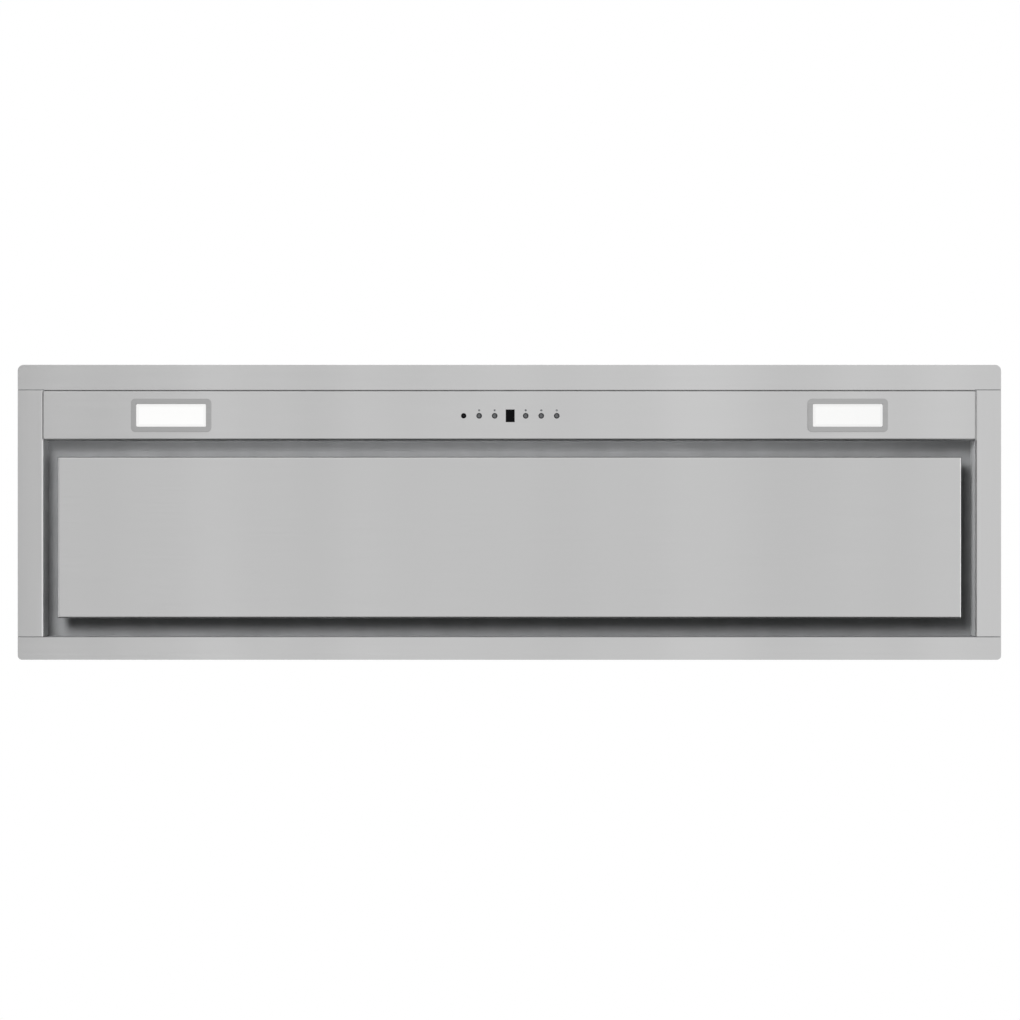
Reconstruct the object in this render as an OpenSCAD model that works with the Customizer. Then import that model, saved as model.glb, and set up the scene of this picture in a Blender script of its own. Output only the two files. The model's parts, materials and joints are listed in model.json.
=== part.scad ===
// Built-in range hood with a perimeter suction panel, seen from below in use.
// X runs to the right, Y from the user to the wall, Z up. Millimetres.
// The origin is below the centre of the frame, level with the faces of the lamp bezels.

/* [Frame] */
// Width of the visible frame
frame_w = 900; // [800:10:1200]
// Depth of the frame from its front edge to the wall side
frame_d = 270; // [266:1:300]
// Depth of the front rail
front_rail_d = 23; // [20:0.5:26]
// Depth of the rear rail
rear_rail_d = 20.7; // [19:0.1:24]
// Width of each side rail
side_rail_w = 23.6; // [21:0.1:30]
// Radius of the two front corners
front_corner_r = 5.5; // [3:0.5:8]
// Radius of the two rear corners
rear_corner_r = 4; // [3:0.5:8]
// Height of the folded outer edge
edge_h = 6; // [4.5:0.5:12]
// Width of the inward fold that seats on the cabinet
edge_return_w = 7; // [5:0.5:8]
// Open seam between neighbouring rails
seam_gap = 0.6; // [0.3:0.1:1]

/* [Sheet metal] */
// Thickness of the stainless sheet of the frame and fascia
sheet_t = 1.2; // [0.8:0.1:1.5]
// Outside radius of a bend in the stainless sheet
bend_r = 2.2; // [1.8:0.1:3]
// Thickness of the galvanised sheet of the inner housing
inner_t = 1; // [0.7:0.1:1.2]

/* [Control fascia] */
// Depth of the fascia between the front rail and the recess
fascia_d = 45.7; // [42:0.1:50]
// Height of the fold at the front edge of the fascia
fascia_lip_h = 12; // [8:1:20]
// Distance from the front edge of the fascia to the row of controls
control_row = 23.4; // [20:0.1:26]
// Place of the display along the fascia, from the middle
control_x = 0.7; // [-20:0.1:20]
// Spacing of the controls
control_pitch = 14.2; // [13.5:0.1:18]

/* [Buttons] */
// Diameter of a push-button
button_dia = 4.6; // [4:0.1:5.2]
// Height of a button above the fascia
button_proud = 1; // [0.5:0.1:1.1]
// Travel of a button
button_travel = 1; // [0.6:0.1:1.2]
// Diameter of a button stem
stem_dia = 3; // [2:0.1:3.4]
// Diameter of an indicator light
indicator_dia = 1.8; // [1:0.1:1.8]
// Distance from a button to its indicator light
indicator_gap = 5; // [4.9:0.1:6]

/* [Display and sensor] */
// Width of the display window
display_w = 7.9; // [6:0.1:9]
// Depth of the display window
display_d = 11.3; // [9:0.1:13]
// Diameter of the sensor ring
sensor_dia = 4.8; // [4:0.1:6]
// Diameter of the sensor lens
sensor_lens_dia = 2.4; // [1.6:0.1:2.8]

/* [Lamps] */
// Distance from the frame's side edge to the middle of a lamp
lamp_inset = 140.4; // [100:0.1:200]
// Distance from the front edge of the fascia to the middle of a lamp
lamp_row = 23; // [21:0.1:25]
// Width of a lamp lens
lens_w = 63.6; // [50:0.1:90]
// Depth of a lamp lens
lens_d = 20.6; // [16:0.1:24]
// Thickness of a lamp lens
lens_t = 3; // [2:0.1:4]
// Width of the bezel round a lens
bezel_rim = 4.9; // [4:0.1:5.5]
// Radius of a bezel's outer corners
bezel_corner_r = 4; // [2:0.5:6]
// Height of a bezel above the fascia
bezel_proud = 1.2; // [1.2:0.1:2]
// Depth of a bezel's neck behind the fascia
bezel_neck_h = 5; // [4:0.5:8]
// Height of the lamp body above its bezel
lamp_body_h = 9; // [6:0.5:20]

/* [Suction recess] */
// Depth of the recess
recess_h = 26; // [24:0.5:30]
// Slot in front of the panel
slot_front = 15.4; // [10:0.1:20]
// Slot behind the panel
slot_rear = 17.4; // [16:0.1:22]
// Slot at each side of the panel
slot_side = 12.6; // [8:0.1:20]

/* [Panel] */
// Thickness of the panel sheet
panel_t = 1; // [0.8:0.1:1.2]
// Height of the panel's folded edges
panel_fold_h = 10; // [8:0.5:10.5]
// Distance that the panel sits back from the frame's face
panel_set_back = 0.3; // [0:0.1:1]
// Distance from the panel's rear edge to the hinge axis
hinge_inset = 4.9; // [4.6:0.1:6]
// Height of the hinge axis above the frame's face
hinge_h = 16; // [15.6:0.1:17]
// Distance from the recess's side wall to a hinge
hinge_from_side = 96; // [60:1:200]
// Diameter of a hinge pin
hinge_pin_dia = 4; // [3:0.1:4.4]
// Radius of the rounded end of a hinge ear
hinge_ear_r = 5; // [4.4:0.1:5]

/* [Filters] */
// Distance from the recess's side wall to a filter window
window_side = 39.4; // [36:0.1:80]
// Distance from the fascia to the filter windows
window_front = 16; // [16:0.5:18]
// Distance from the filter windows to the hinge axis
window_rear = 10; // [8.5:0.5:20]
// Width of the bar between the windows
window_bar = 14; // [10:1:16]
// Gap round a filter in its window
filter_gap = 0.8; // [0.4:0.1:1.5]
// Height of a filter
filter_h = 9; // [8:0.5:14]
// Distance that a filter hangs below the tray
filter_drop = 1; // [0.5:0.1:2]
// Width of the filter's side rims
filter_rim = 9; // [6:0.5:12]
// Width of the filter's front rim, which holds the latch
latch_rim = 15; // [14.5:0.5:20]
// Width of a latch
latch_w = 21; // [16:1:40]
// Travel of a latch
latch_travel = 5; // [4:0.1:5]
// Length of the latch bolt that rests on the tray
latch_bite = 4.5; // [2:0.1:4.6]

/* [Chassis] */
// Height of the chassis above the frame's face
chassis_h = 92; // [70:1:140]
// Width of the folds that join the chassis to the frame
chassis_flange = 10; // [8:0.5:11]
// Spacing of the two cabinet fixing holes in each end
fixing_spacing = 120; // [60:1:180]
// Height of the cabinet fixing holes above the frame's face
fixing_h = 68; // [40:1:69]
// Diameter of the cabinet fixing holes
fixing_dia = 5; // [4:0.1:6.5]

/* [Motor housing] */
// Width of the motor housing
housing_w = 380; // [340:1:480]
// Depth of the motor housing
housing_d = 212; // [206:1:214]
// Height of the motor housing
housing_h = 170; // [168:1:220]
// Width of the housing's feet
foot_w = 14; // [12:1:20]

/* [Outlet] */
// Outside diameter of the outlet collar
collar_dia = 149; // [146:0.5:152]
// Wall of the outlet collar
collar_t = 1.5; // [1:0.1:2]
// Height of the outlet collar
collar_h = 40; // [30:1:60]
// Width of the collar's flange
collar_flange = 16; // [14:1:20]
// Height of the damper pin above the motor housing
damper_h = 9; // [8:0.5:14]
// Diameter of the damper pin
damper_pin_dia = 4; // [3:0.1:5]
// Thickness of a damper flap
flap_t = 1.2; // [1:0.1:1.5]
// Gap between the flaps and the collar
flap_gap = 1; // [0.5:0.1:2]

/* [Blower] */
// Radius of the impeller
wheel_r = 58; // [54:0.5:58]
// Depth of the impeller blades
blade_d = 10; // [8:0.5:12]
// Width of the impeller
wheel_w = 84; // [70:1:84]
// Number of blades
blade_count = 36; // [24:1:40]
// Gap between the impeller and the cut-off
wheel_gap = 7; // [5:0.5:8]
// Growth of the scroll in one turn
scroll_growth = 22; // [16:1:22]
// Wall of the scroll
scroll_t = 2; // [1.6:0.1:2.5]
// Half of the scroll's width
scroll_half_w = 48; // [46:0.5:50]
// Distance from the wheel axis to the outlet's middle, towards the wall
wheel_offset = 28; // [24:0.5:29]
// Depth of the wheel axis below the housing's top
wheel_depth = 88; // [86:0.5:89]
// Radius of the motor case
motor_r = 32; // [26:0.5:36]
// Diameter of the motor shaft
shaft_dia = 6; // [5:0.5:8]

/* [Electronics box] */
// Distance from the chassis end to the electronics box
box_side = 40; // [34:1:60]
// Width of the electronics box
box_w = 120; // [110:1:150]
// Depth of the electronics box
box_d = 100; // [96:1:110]
// Height of the electronics box
box_h = 42; // [40:1:60]
// Distance from the chassis front to the electronics box
box_front = 6; // [2:0.5:8]
// Wall of the electronics box
box_t = 1.5; // [1:0.1:2]
// Outside radius of the cable gland
gland_r = 9; // [7:0.5:11]
// Radius of the gland's cable bore
gland_bore_r = 3.6; // [2.5:0.1:5]

/* [Fasteners and fits] */
// Diameter of the assembly screws
screw_dia = 3.5; // [3:0.1:4]
// Length of a screw below its head
screw_l = 6; // [5:0.5:6.5]
// Radial gap of a turning or sliding fit
running_gap = 0.05; // [0.03:0.01:0.08]
// Gap between parts that move past each other
free_gap = 0.3; // [0.3:0.05:0.4]

/* [Hidden] */
$fn = 64;

steel = "#c3c3c4";
zinc = "#9ea3a6";
dark_plastic = "#26282a";
light_plastic = "#d8d8d4";
aluminium = "#b4b7ba";
board_green = "#2f5d3a";

// Margin by which a cut runs past what it cuts
cut = 1;
// Gap round a piece that is set into an opening, both sides together
snug_gap = 0.3;

// Heights: the frame's face, the back of its sheet, the tray and the chassis top
face_z = bezel_proud;
skin_z = face_z + sheet_t;
floor_z = face_z + recess_h;
tray_z = floor_z + sheet_t;
chassis_z = face_z + chassis_h;
deck_z = chassis_z + inner_t;
roof_z = deck_z + housing_h;

// Places along X and Y of the frame's inner edges
inner_corner_r = 1;
recess_x = frame_w / 2 - side_rail_w;
wall_x = recess_x + sheet_t;
seam_y = -frame_d / 2 + front_rail_d;
fascia_y0 = seam_y + seam_gap / 2;
fascia_y1 = fascia_y0 + fascia_d;
recess_y = frame_d / 2 - rear_rail_d;
chassis_y0 = fascia_y0 - inner_t;
chassis_y1 = recess_y + sheet_t + inner_t;

// Controls
row_y = fascia_y0 + control_row;
light_x = control_x - 2 * control_pitch;
timer_x = control_x - control_pitch;
speed_down_x = control_x + control_pitch;
speed_up_x = control_x + 2 * control_pitch;
power_x = control_x + 3 * control_pitch;
sensor_x = control_x - 3 * control_pitch;
button_xs = [light_x, timer_x, speed_down_x, speed_up_x, power_x];
button_r = button_dia / 2;
button_rim = 0.9;
button_flange_t = 1;
stem_r = stem_dia / 2;
indicator_r = indicator_dia / 2;
sensor_r = sensor_dia / 2;
sensor_lens_r = sensor_lens_dia / 2;
sensor_proud = 0.3;
sensor_lens_proud = 0.1;

// Holder, switches and board behind the fascia
pocket_play = 0.5;
pocket_h = free_gap + button_flange_t + button_travel + pocket_play;
holder_roof_t = 4;
holder_z = skin_z + pocket_h + holder_roof_t;
holder_end = 6;
holder_side = 9;
holder_ear = 10;
holder_ear_t = 3;
holder_foot = 4;
boss_h = 3.5;
boss_r = 3.2;
boss_xs = [for (side = [-1, 1]) control_x + side * (3 * control_pitch + holder_end + holder_ear / 2)];
switch_h = 3.5;
switch_w = 6;
stem_end = 1;
stem_top = holder_z + stem_end;
switch_z = stem_top + button_travel + free_gap;
board_z = switch_z + switch_h;
board_t = 1.6;

// Display: the window's face, its rim behind the fascia and the module on it
window_neck = 0.6;
window_lap = 2.1;
window_rim_t = 1.2;
module_gap = 0.2;
module_lap = window_lap - 2 * module_gap;
display_pocket = window_lap + 2 * module_gap;

// Lamps
lamp_y = fascia_y0 + lamp_row;
lamp_x = frame_w / 2 - lamp_inset;
lamp_neck_wall = 2;
lamp_neck_w = lens_w + snug_gap + 2 * lamp_neck_wall;
lamp_neck_d = lens_d + snug_gap + 2 * lamp_neck_wall;
lamp_hole_w = lamp_neck_w + snug_gap;
lamp_hole_d = lamp_neck_d + snug_gap;
lens_corner_r = 1;
lens_z = 0.4;
engine_play = 0.6;
engine_lap = 1;
engine_plate_t = 3;
fin_t = 2;
fin_count = 9;
fin_inset = 2;
lamp_top_z = face_z + bezel_neck_h + lamp_body_h;

// Panel
panel_x = recess_x - slot_side;
panel_y0 = fascia_y1 + slot_front;
panel_y1 = recess_y - slot_rear;
panel_z = face_z + panel_set_back;
panel_in_z = panel_z + panel_t;
panel_top_z = panel_z + panel_fold_h;
panel_bend_r = panel_t + 1;

// Hinges
hinge_y = panel_y1 - hinge_inset;
hinge_z = face_z + hinge_h;
hinge_x = recess_x - hinge_from_side;
hinge_pin_r = hinge_pin_dia / 2;
ear_t = 2;
ear_gap = 0.4;
arm_half_w = 5.6;
arm_front = 3.6;
arm_rear = 3;
arm_eye_r = hinge_ear_r - 0.5;
leaf_half_w = 15;
leaf_front = 12;
leaf_t = 1.5;
ear_x = arm_half_w + ear_gap;
hinge_plate_t = 2;
hinge_plate_half_w = 18;
hinge_plate_front = 7;
hinge_plate_rear = 5;
hinge_plate_z = floor_z - hinge_plate_t;
hinge_screw_x = 14;
pin_play = 0.2;
pin_tail = 1;
pin_head_t = 1.5;
pin_head_rim = 1.2;

// Filters
window_y0 = fascia_y1 + window_front;
window_y1 = hinge_y - window_rear;
window_w = recess_x - window_side - window_bar / 2;
window_x = window_bar / 2 + window_w / 2;
window_end_x = window_x + window_w / 2;
filter_z0 = floor_z - filter_drop;
filter_z1 = filter_z0 + filter_h;
filter_y0 = window_y0 + filter_gap;
filter_y1 = window_y1 - filter_gap;
filter_half_w = window_w / 2 - filter_gap;
tongue_w = 20;
tongue_bite = 5;
tongue_t = 2;
mesh_inset = 1.5;
latch_wall = 3.2;
latch_stem = 4;
latch_bolt_t = 2.5;
latch_slot_y0 = filter_y0 + latch_wall;
latch_slot_y1 = latch_slot_y0 + latch_stem + latch_travel + 2 * free_gap;
bolt_z = tray_z + free_gap;
grip_w = latch_w + 8;
grip_d = 9;
grip_t = 2.5;
grip_lip_t = 2;
grip_lip_h = 4;

// Stiffeners and catches
hat_t = 0.8;
hat_w = 16;
hat_foot = 6;
hat_end = 10;
hat_play = 1;
hat_mid_y = (panel_y0 + hinge_y) / 2;
hat_front = 34;
hat_rear = 26;
hat_ys = [hat_mid_y - hat_front, hat_mid_y + hat_rear];
magnet_w = 18;
magnet_l = 30;
magnet_h = 14;
magnet_side = 3;
strike_t = 1.2;
strike_w = magnet_w - 2;
strike_l = magnet_l - 4;
strike_foot = 7.2;
strike_gap = 2;
magnet_x = window_end_x + magnet_side + magnet_w / 2;
magnet_y = panel_y0 + panel_t + strike_gap + strike_foot + strike_l / 2;

// Chassis and motor housing
baffle_fold = 10;
end_flange = 14;
end_flange_gap = 4;
deck_hole_front = 12;
deck_hole_side = 15;
deck_hole_rear = 10;
deck_hole_x = housing_w / 2 - deck_hole_side;
deck_hole_y0 = fascia_y1 + deck_hole_front;
deck_hole_y1 = housing_d / 2 - deck_hole_rear;

// Outlet
collar_flange_t = 2;
collar_r = collar_dia / 2;
collar_in_r = collar_r - collar_t;
damper_z = roof_z + damper_h;
damper_pin_r = damper_pin_dia / 2;
damper_pin_end = 0.2;
stop_reach = 5.2;
stop_w = 8;
stop_t = 2;
stop_z = damper_z - flap_t / 2 - free_gap;
flap_r = collar_in_r - flap_gap;
knuckle_wall = 1.2;
knuckle_r = damper_pin_r + knuckle_wall;
knuckle_gap = 0.4;
knuckle_bite = 2;
knuckle_l = 22;
knuckle_pairs = 3;

// Blower
wheel_y = wheel_offset;
wheel_z = roof_z - inner_t - wheel_depth;
wheel_half_w = wheel_w / 2;
blade_in_r = wheel_r - blade_d;
blade_mid_r = blade_in_r + blade_d / 2;
blade_tip_r = wheel_r - 0.2;
blade_lean = 9;
blade_bow = 1;
blade_angle = 1.3;
inlet_r = blade_in_r - 2;
wheel_disc_r = blade_in_r + 2;
wheel_disc_half_t = 1;
wheel_ring_w = 3;
wheel_ring_t = 4;
shaft_r = shaft_dia / 2;
hub_l = 16;
hub_r = shaft_r + 6;
scroll_start = 100;
scroll_end = -180;
scroll_step = 10;
scroll_flange_t = 2.5;
scroll_flange_w = 6;
scroll_neck_y = wheel_r + wheel_gap + scroll_t + scroll_growth * (scroll_start - scroll_end) / 360
    - wheel_offset;
motor_x0 = 6;
motor_nose_l = 3;
motor_nose_r = motor_r - 12;
shaft_tail = 2;
shaft_seat = 8;
bracket_t = 2.5;
bracket_arm_w = 12;
bracket_hub_r = motor_r - 2;
bracket_reach = inlet_r + 8;

// Electronics box, with places on its board counted from the box's left and front
box_x0 = -wall_x + box_side;
box_x1 = box_x0 + box_w;
box_y0 = chassis_y0 + box_front;
box_y1 = box_y0 + box_d;
box_z1 = deck_z + box_h;
cover_lap = 1;
cover_block_w = 8;
cover_block_h = 10;
cover_block_y = box_y0 + 16;
board_front = 34;
board_rear = 6;
board_left = 14;
board_right = 10;
board_y0 = box_y0 + board_front;
board_y1 = box_y1 - board_rear;
board_mid_y = (board_y0 + board_y1) / 2;
standoff_r = 3;
standoff_h = 6;
standoff_inset = 6;
box_board_z = deck_z + box_t + standoff_h;
board_top_z = box_board_z + board_t;
terminal_side = 24;
terminal_x = box_x0 + terminal_side;
terminal_w = 14;
terminal_l = 42;
terminal_h = 13.4;
terminal_pitch = 12;
terminal_hole_r = 3;
terminal_hole_h = 8;
capacitor_side = 42;
capacitor_x = box_x0 + capacitor_side;
capacitor_r = 7.5;
capacitor_l = 38;
transformer_side = 68;
transformer_x = box_x0 + transformer_side;
transformer_w = 30;
transformer_l = 28;
transformer_h = 19;
relay_side = 24;
relay_x = box_x1 - relay_side;
relay_w = 14;
relay_l = 18;
relay_h = 13;
part_row_shift = 6;
part_row_y = board_mid_y + part_row_shift;
gland_rise = 22;
gland_z = deck_z + gland_rise;
gland_out = 16;
gland_in = 5;
gland_nut_t = 4;
gland_nut_rim = 3;

// Wiring
wire_r = 1.6;
wire_sides = 8;
wire_hole_r = 3;
wire_rise = 56;
wire_level = face_z + wire_rise;
wire_bend = 12;
wire_lift = 0.1;
wire_pitch_x = 13;
wire_pitch_y = 8;
deck_wire_side = 36;
deck_wire_x = box_x1 - deck_wire_side;
deck_wires = [for (i = [-1:1]) [deck_wire_x + wire_pitch_x * i, row_y + wire_pitch_y * i]];
box_wire_z = board_top_z + wire_r + wire_lift;
box_wire_y = board_y0 + wire_pitch_y;
motor_wire_y = -30;
motor_wire_rise = 18;
motor_wire_z = deck_z + motor_wire_rise;
motor_wire_edge = 24;
motor_wire_front_y = motor_wire_edge - housing_d / 2;
motor_wire_side = 30;
motor_wire_x = scroll_half_w + motor_wire_side;

// From the top of a lamp or board up, along the fascia and up into the electronics box
function fascia_route(x, y, z, exit) = [
    [x, y, z], [x, y, wire_level - wire_bend], [x, exit[1], wire_level],
    [exit[0], exit[1], wire_level], [exit[0], exit[1], box_wire_z], [exit[0], box_wire_y, box_wire_z]
];
wire_routes = [
    fascia_route(-lamp_x, lamp_y, lamp_top_z, deck_wires[0]),
    fascia_route(control_x, row_y, board_z + board_t, deck_wires[1]),
    fascia_route(lamp_x, lamp_y, lamp_top_z, deck_wires[2]),
    [[box_x1 - 2 * box_t, motor_wire_y, motor_wire_z], [-2 * motor_wire_x, motor_wire_y, motor_wire_z],
        [-motor_wire_x, motor_wire_front_y, motor_wire_z], [motor_wire_x, motor_wire_front_y, motor_wire_z],
        [motor_wire_x, wheel_y, wheel_z], [scroll_half_w + bracket_t, wheel_y, wheel_z]]
];

// Screws, each list a row of places in plan
screw_r = screw_dia / 2;
screw_hole_r = screw_r + 0.15;
head_r = screw_r + 1.9;
head_h = 2;
chassis_screw_y = 70;
housing_screw_edge = 36;
housing_screw_y = housing_d / 2 - housing_screw_edge;
chassis_screws = [for (sx = [-1, 1], k = [-1:1]) [sx * (wall_x - end_flange / 2), k * chassis_screw_y]];
foot_screws = [for (sx = [-1, 1], sy = [-1, 1])
    [sx * (housing_w / 2 + foot_w / 2 + inner_t), sy * housing_screw_y]];
roof_screws = [for (sx = [-1, 1], sy = [-1, 1])
    [sx * (housing_w / 2 - end_flange / 2), sy * housing_screw_y]];
collar_screws = [for (a = [45:90:315])
    [(collar_r + collar_flange / 2) * cos(a), (collar_r + collar_flange / 2) * sin(a)]];
cover_screws = [for (side = [-1, 1])
    [(box_x0 + box_x1) / 2 + side * (box_w / 2 - box_t - cover_block_w / 2), cover_block_y]];
holder_screws = [for (x = boss_xs) [x, row_y]];
hinge_screws = [for (side = [-1, 1], off = [-1, 1]) [side * hinge_x + off * hinge_screw_x, hinge_y]];

// A box between its lowest and its highest corner
module block(low, high) {
    translate(low) cube(high - low);
}

// An upright box round a centre line
module slab(x, y, w, d, z0, z1) {
    block([x - w / 2, y - d / 2, z0], [x + w / 2, y + d / 2, z1]);
}

// An upright cylinder between two heights
module post(x, y, r, z0, z1) {
    translate([x, y, z0]) cylinder(r = r, h = z1 - z0);
}

// A YZ outline drawn out from x0 to x1
module along_x(x0, x1) {
    translate([x0, 0, 0]) rotate([90, 0, 90]) linear_extrude(x1 - x0) children();
}

// An XZ outline drawn out from y0 to y1
module along_y(y0, y1) {
    translate([0, y1, 0]) rotate([90, 0, 0]) linear_extrude(y1 - y0) children();
}

// A round bar along X
module bar_x(x0, x1, y, z, r) {
    translate([x0, y, z]) rotate([0, 90, 0]) cylinder(r = r, h = x1 - x0);
}

// A round bar along Y
module bar_y(y0, y1, x, z, r) {
    translate([x, y1, z]) rotate([90, 0, 0]) cylinder(r = r, h = y1 - y0);
}

// A flat rectangle from its lowest corner
module plate(x0, y0, x1, y1) {
    translate([x0, y0]) square([x1 - x0, y1 - y0]);
}

// The corner that a rounding takes away; side and up point out of the corner
module corner_waste(side, up, r) {
    difference() {
        translate([-side * (r - cut) / 2, -up * (r - cut) / 2]) square(r + cut, center = true);
        translate([-side * r, -up * r]) circle(r);
    }
}

// A rectangle with rounded corners, with one radius in front and one at the rear
module rounded_plan(w, d, r_front, r_rear) {
    difference() {
        square([w, d], center = true);
        for (side = [-1, 1]) {
            translate([side * w / 2, -d / 2]) corner_waste(side, -1, r_front);
            translate([side * w / 2, d / 2]) corner_waste(side, 1, r_rear);
        }
    }
}

// A bent edge: the corner is at the origin, the leg goes up and the sheet goes right
module bend_leg(h) {
    intersection() {
        translate([bend_r, bend_r]) difference() {
            circle(bend_r);
            circle(bend_r - sheet_t);
        }
        square(bend_r);
    }
    plate(0, bend_r, sheet_t, h);
}

// Holes for a list of screws, through everything between two heights
module screw_holes(sites, z0, z1) {
    for (p = sites) post(p[0], p[1], screw_hole_r, z0, z1);
}

// Frame

module frame_plan(inset) {
    rounded_plan(frame_w - 2 * inset, frame_d - 2 * inset,
        max(front_corner_r - inset, inner_corner_r),
        max(rear_corner_r - inset, inner_corner_r));
}

// The folded pan from which the front and rear rails are cut
module frame_pan() {
    translate([0, 0, face_z]) difference() {
        linear_extrude(edge_h) frame_plan(0);
        translate([0, 0, sheet_t]) linear_extrude(edge_h - 2 * sheet_t) frame_plan(sheet_t);
        translate([0, 0, edge_h / 2]) linear_extrude(edge_h) frame_plan(edge_return_w);
    }
}

module front_rail() {
    color(steel) intersection() {
        frame_pan();
        block([-frame_w, -frame_d, 0], [frame_w, seam_y - seam_gap / 2, roof_z]);
    }
}

module rear_rail() {
    color(steel) intersection() {
        frame_pan();
        block([-frame_w, recess_y, 0], [frame_w, frame_d, roof_z]);
    }
}

module side_rail() {
    color(steel) along_y(fascia_y0, recess_y - seam_gap) {
        translate([recess_x, face_z]) bend_leg(recess_h);
        plate(recess_x + bend_r, face_z, frame_w / 2, skin_z);
        plate(frame_w / 2 - sheet_t, face_z, frame_w / 2, face_z + edge_h);
        plate(frame_w / 2 - edge_return_w, face_z + edge_h - sheet_t, frame_w / 2, face_z + edge_h);
    }
}

module left_rail() {
    mirror([1, 0, 0]) side_rail();
}

module right_rail() {
    side_rail();
}

// Fascia with its lamp and control openings and two threaded bosses

module control_fascia() {
    half = recess_x - free_gap;
    color(steel) difference() {
        union() {
            along_x(-half, half) {
                translate([fascia_y0, face_z]) bend_leg(fascia_lip_h);
                plate(fascia_y0 + bend_r, face_z, fascia_y1 - bend_r, skin_z);
                translate([fascia_y1, face_z]) mirror([1, 0]) bend_leg(recess_h);
            }
            for (x = boss_xs) post(x, row_y, boss_r, skin_z - sheet_t / 2, skin_z + boss_h);
        }
        for (x = boss_xs) post(x, row_y, screw_hole_r, skin_z, skin_z + boss_h + cut);
        for (side = [-1, 1]) slab(side * lamp_x, lamp_y, lamp_hole_w, lamp_hole_d, 0, skin_z + cut);
        for (x = button_xs) {
            post(x, row_y, button_r + free_gap, 0, skin_z + cut);
            post(x, row_y - indicator_gap, indicator_r + running_gap, 0, skin_z + cut);
        }
        slab(control_x, row_y, display_w + snug_gap, display_d + snug_gap, 0, skin_z + cut);
        post(sensor_x, row_y, sensor_r + running_gap, 0, skin_z + cut);
    }
}

// Tray above the recess, with a turned-down rear edge and two filter windows
module intake_tray() {
    rear = recess_y + sheet_t;
    color(steel) difference() {
        along_x(-wall_x, wall_x) {
            plate(fascia_y1 - sheet_t, floor_z, rear - bend_r, tray_z);
            translate([rear, tray_z]) rotate(180) bend_leg(tray_z - skin_z);
        }
        for (side = [-1, 1]) {
            block([side * window_x - window_w / 2, window_y0, floor_z - cut],
                [side * window_x + window_w / 2, window_y1, tray_z + cut]);
        }
        screw_holes(hinge_screws, floor_z - cut, tray_z + cut);
    }
}

// Chassis

module chassis_wrap() {
    color(zinc) difference() {
        along_x(-wall_x, wall_x) {
            plate(chassis_y0, skin_z, fascia_y0, deck_z);
            plate(chassis_y1 - inner_t, skin_z, chassis_y1, deck_z);
            plate(chassis_y0, chassis_z, chassis_y1, deck_z);
            plate(chassis_y0 - chassis_flange, skin_z, chassis_y0, skin_z + inner_t);
            plate(chassis_y1, skin_z, chassis_y1 + chassis_flange, skin_z + inner_t);
        }
        block([-deck_hole_x, deck_hole_y0, chassis_z - cut],
            [deck_hole_x, deck_hole_y1, deck_z + cut]);
        for (w = deck_wires) post(w[0], w[1], wire_hole_r, chassis_z - cut, deck_z + cut);
        screw_holes(chassis_screws, chassis_z - cut, deck_z + cut);
        screw_holes(foot_screws, chassis_z - cut, deck_z + cut);
    }
}

module chassis_end() {
    color(zinc) difference() {
        union() {
            block([wall_x, chassis_y0, skin_z], [wall_x + inner_t, chassis_y1, deck_z]);
            block([wall_x, fascia_y0, skin_z],
                [wall_x + inner_t + chassis_flange, recess_y - seam_gap, skin_z + inner_t]);
            block([wall_x - end_flange, fascia_y0 + end_flange_gap, chassis_z - inner_t],
                [wall_x + inner_t / 2, recess_y - end_flange_gap, chassis_z]);
        }
        along_y(chassis_y0 - cut, chassis_y1 + cut) translate([wall_x, skin_z])
            corner_waste(-1, -1, bend_r - sheet_t);
        for (side = [-1, 1]) {
            bar_x(wall_x - cut, wall_x + inner_t + cut, side * fixing_spacing / 2,
                face_z + fixing_h, fixing_dia / 2);
        }
        screw_holes(chassis_screws, chassis_z - inner_t - cut, chassis_z + cut);
    }
}

module chassis_end_left() {
    mirror([1, 0, 0]) chassis_end();
}

module chassis_end_right() {
    chassis_end();
}

// Wall between the suction chamber and the compartment of the controls
module air_baffle() {
    half = wall_x - end_flange - free_gap;
    color(zinc) along_x(-half, half) {
        plate(fascia_y1, tray_z, fascia_y1 + inner_t, chassis_z);
        plate(fascia_y1, tray_z, fascia_y1 + baffle_fold, tray_z + inner_t);
        plate(fascia_y1, chassis_z - inner_t, fascia_y1 + baffle_fold, chassis_z);
    }
}

// Motor housing

module motor_housing() {
    half_w = housing_w / 2;
    half_d = housing_d / 2;
    color(zinc) difference() {
        along_x(-half_w, half_w) {
            plate(-half_d, deck_z, inner_t - half_d, roof_z);
            plate(half_d - inner_t, deck_z, half_d, roof_z);
            plate(-half_d, roof_z - inner_t, half_d, roof_z);
        }
        post(0, 0, collar_in_r, roof_z - inner_t - cut, roof_z + cut);
        screw_holes(roof_screws, roof_z - inner_t - cut, roof_z + cut);
        screw_holes(collar_screws, roof_z - inner_t - cut, roof_z + cut);
    }
}

module housing_end() {
    half_w = housing_w / 2;
    half_d = housing_d / 2;
    color(zinc) difference() {
        union() {
            block([half_w, -half_d, deck_z], [half_w + inner_t, half_d, roof_z]);
            block([half_w, -half_d, deck_z], [half_w + inner_t + foot_w, half_d, deck_z + inner_t]);
            block([half_w - end_flange, end_flange_gap - half_d, roof_z - 2 * inner_t],
                [half_w + inner_t / 2, half_d - end_flange_gap, roof_z - inner_t]);
        }
        screw_holes(foot_screws, deck_z - cut, deck_z + inner_t + cut);
        screw_holes(roof_screws, roof_z - 2 * inner_t - cut, roof_z);
        bar_x(half_w - cut, half_w + inner_t + cut, motor_wire_y, motor_wire_z, wire_hole_r);
    }
}

module housing_end_left() {
    mirror([1, 0, 0]) housing_end();
}

module housing_end_right() {
    housing_end();
}

// Outlet collar with its back-draught damper

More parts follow.
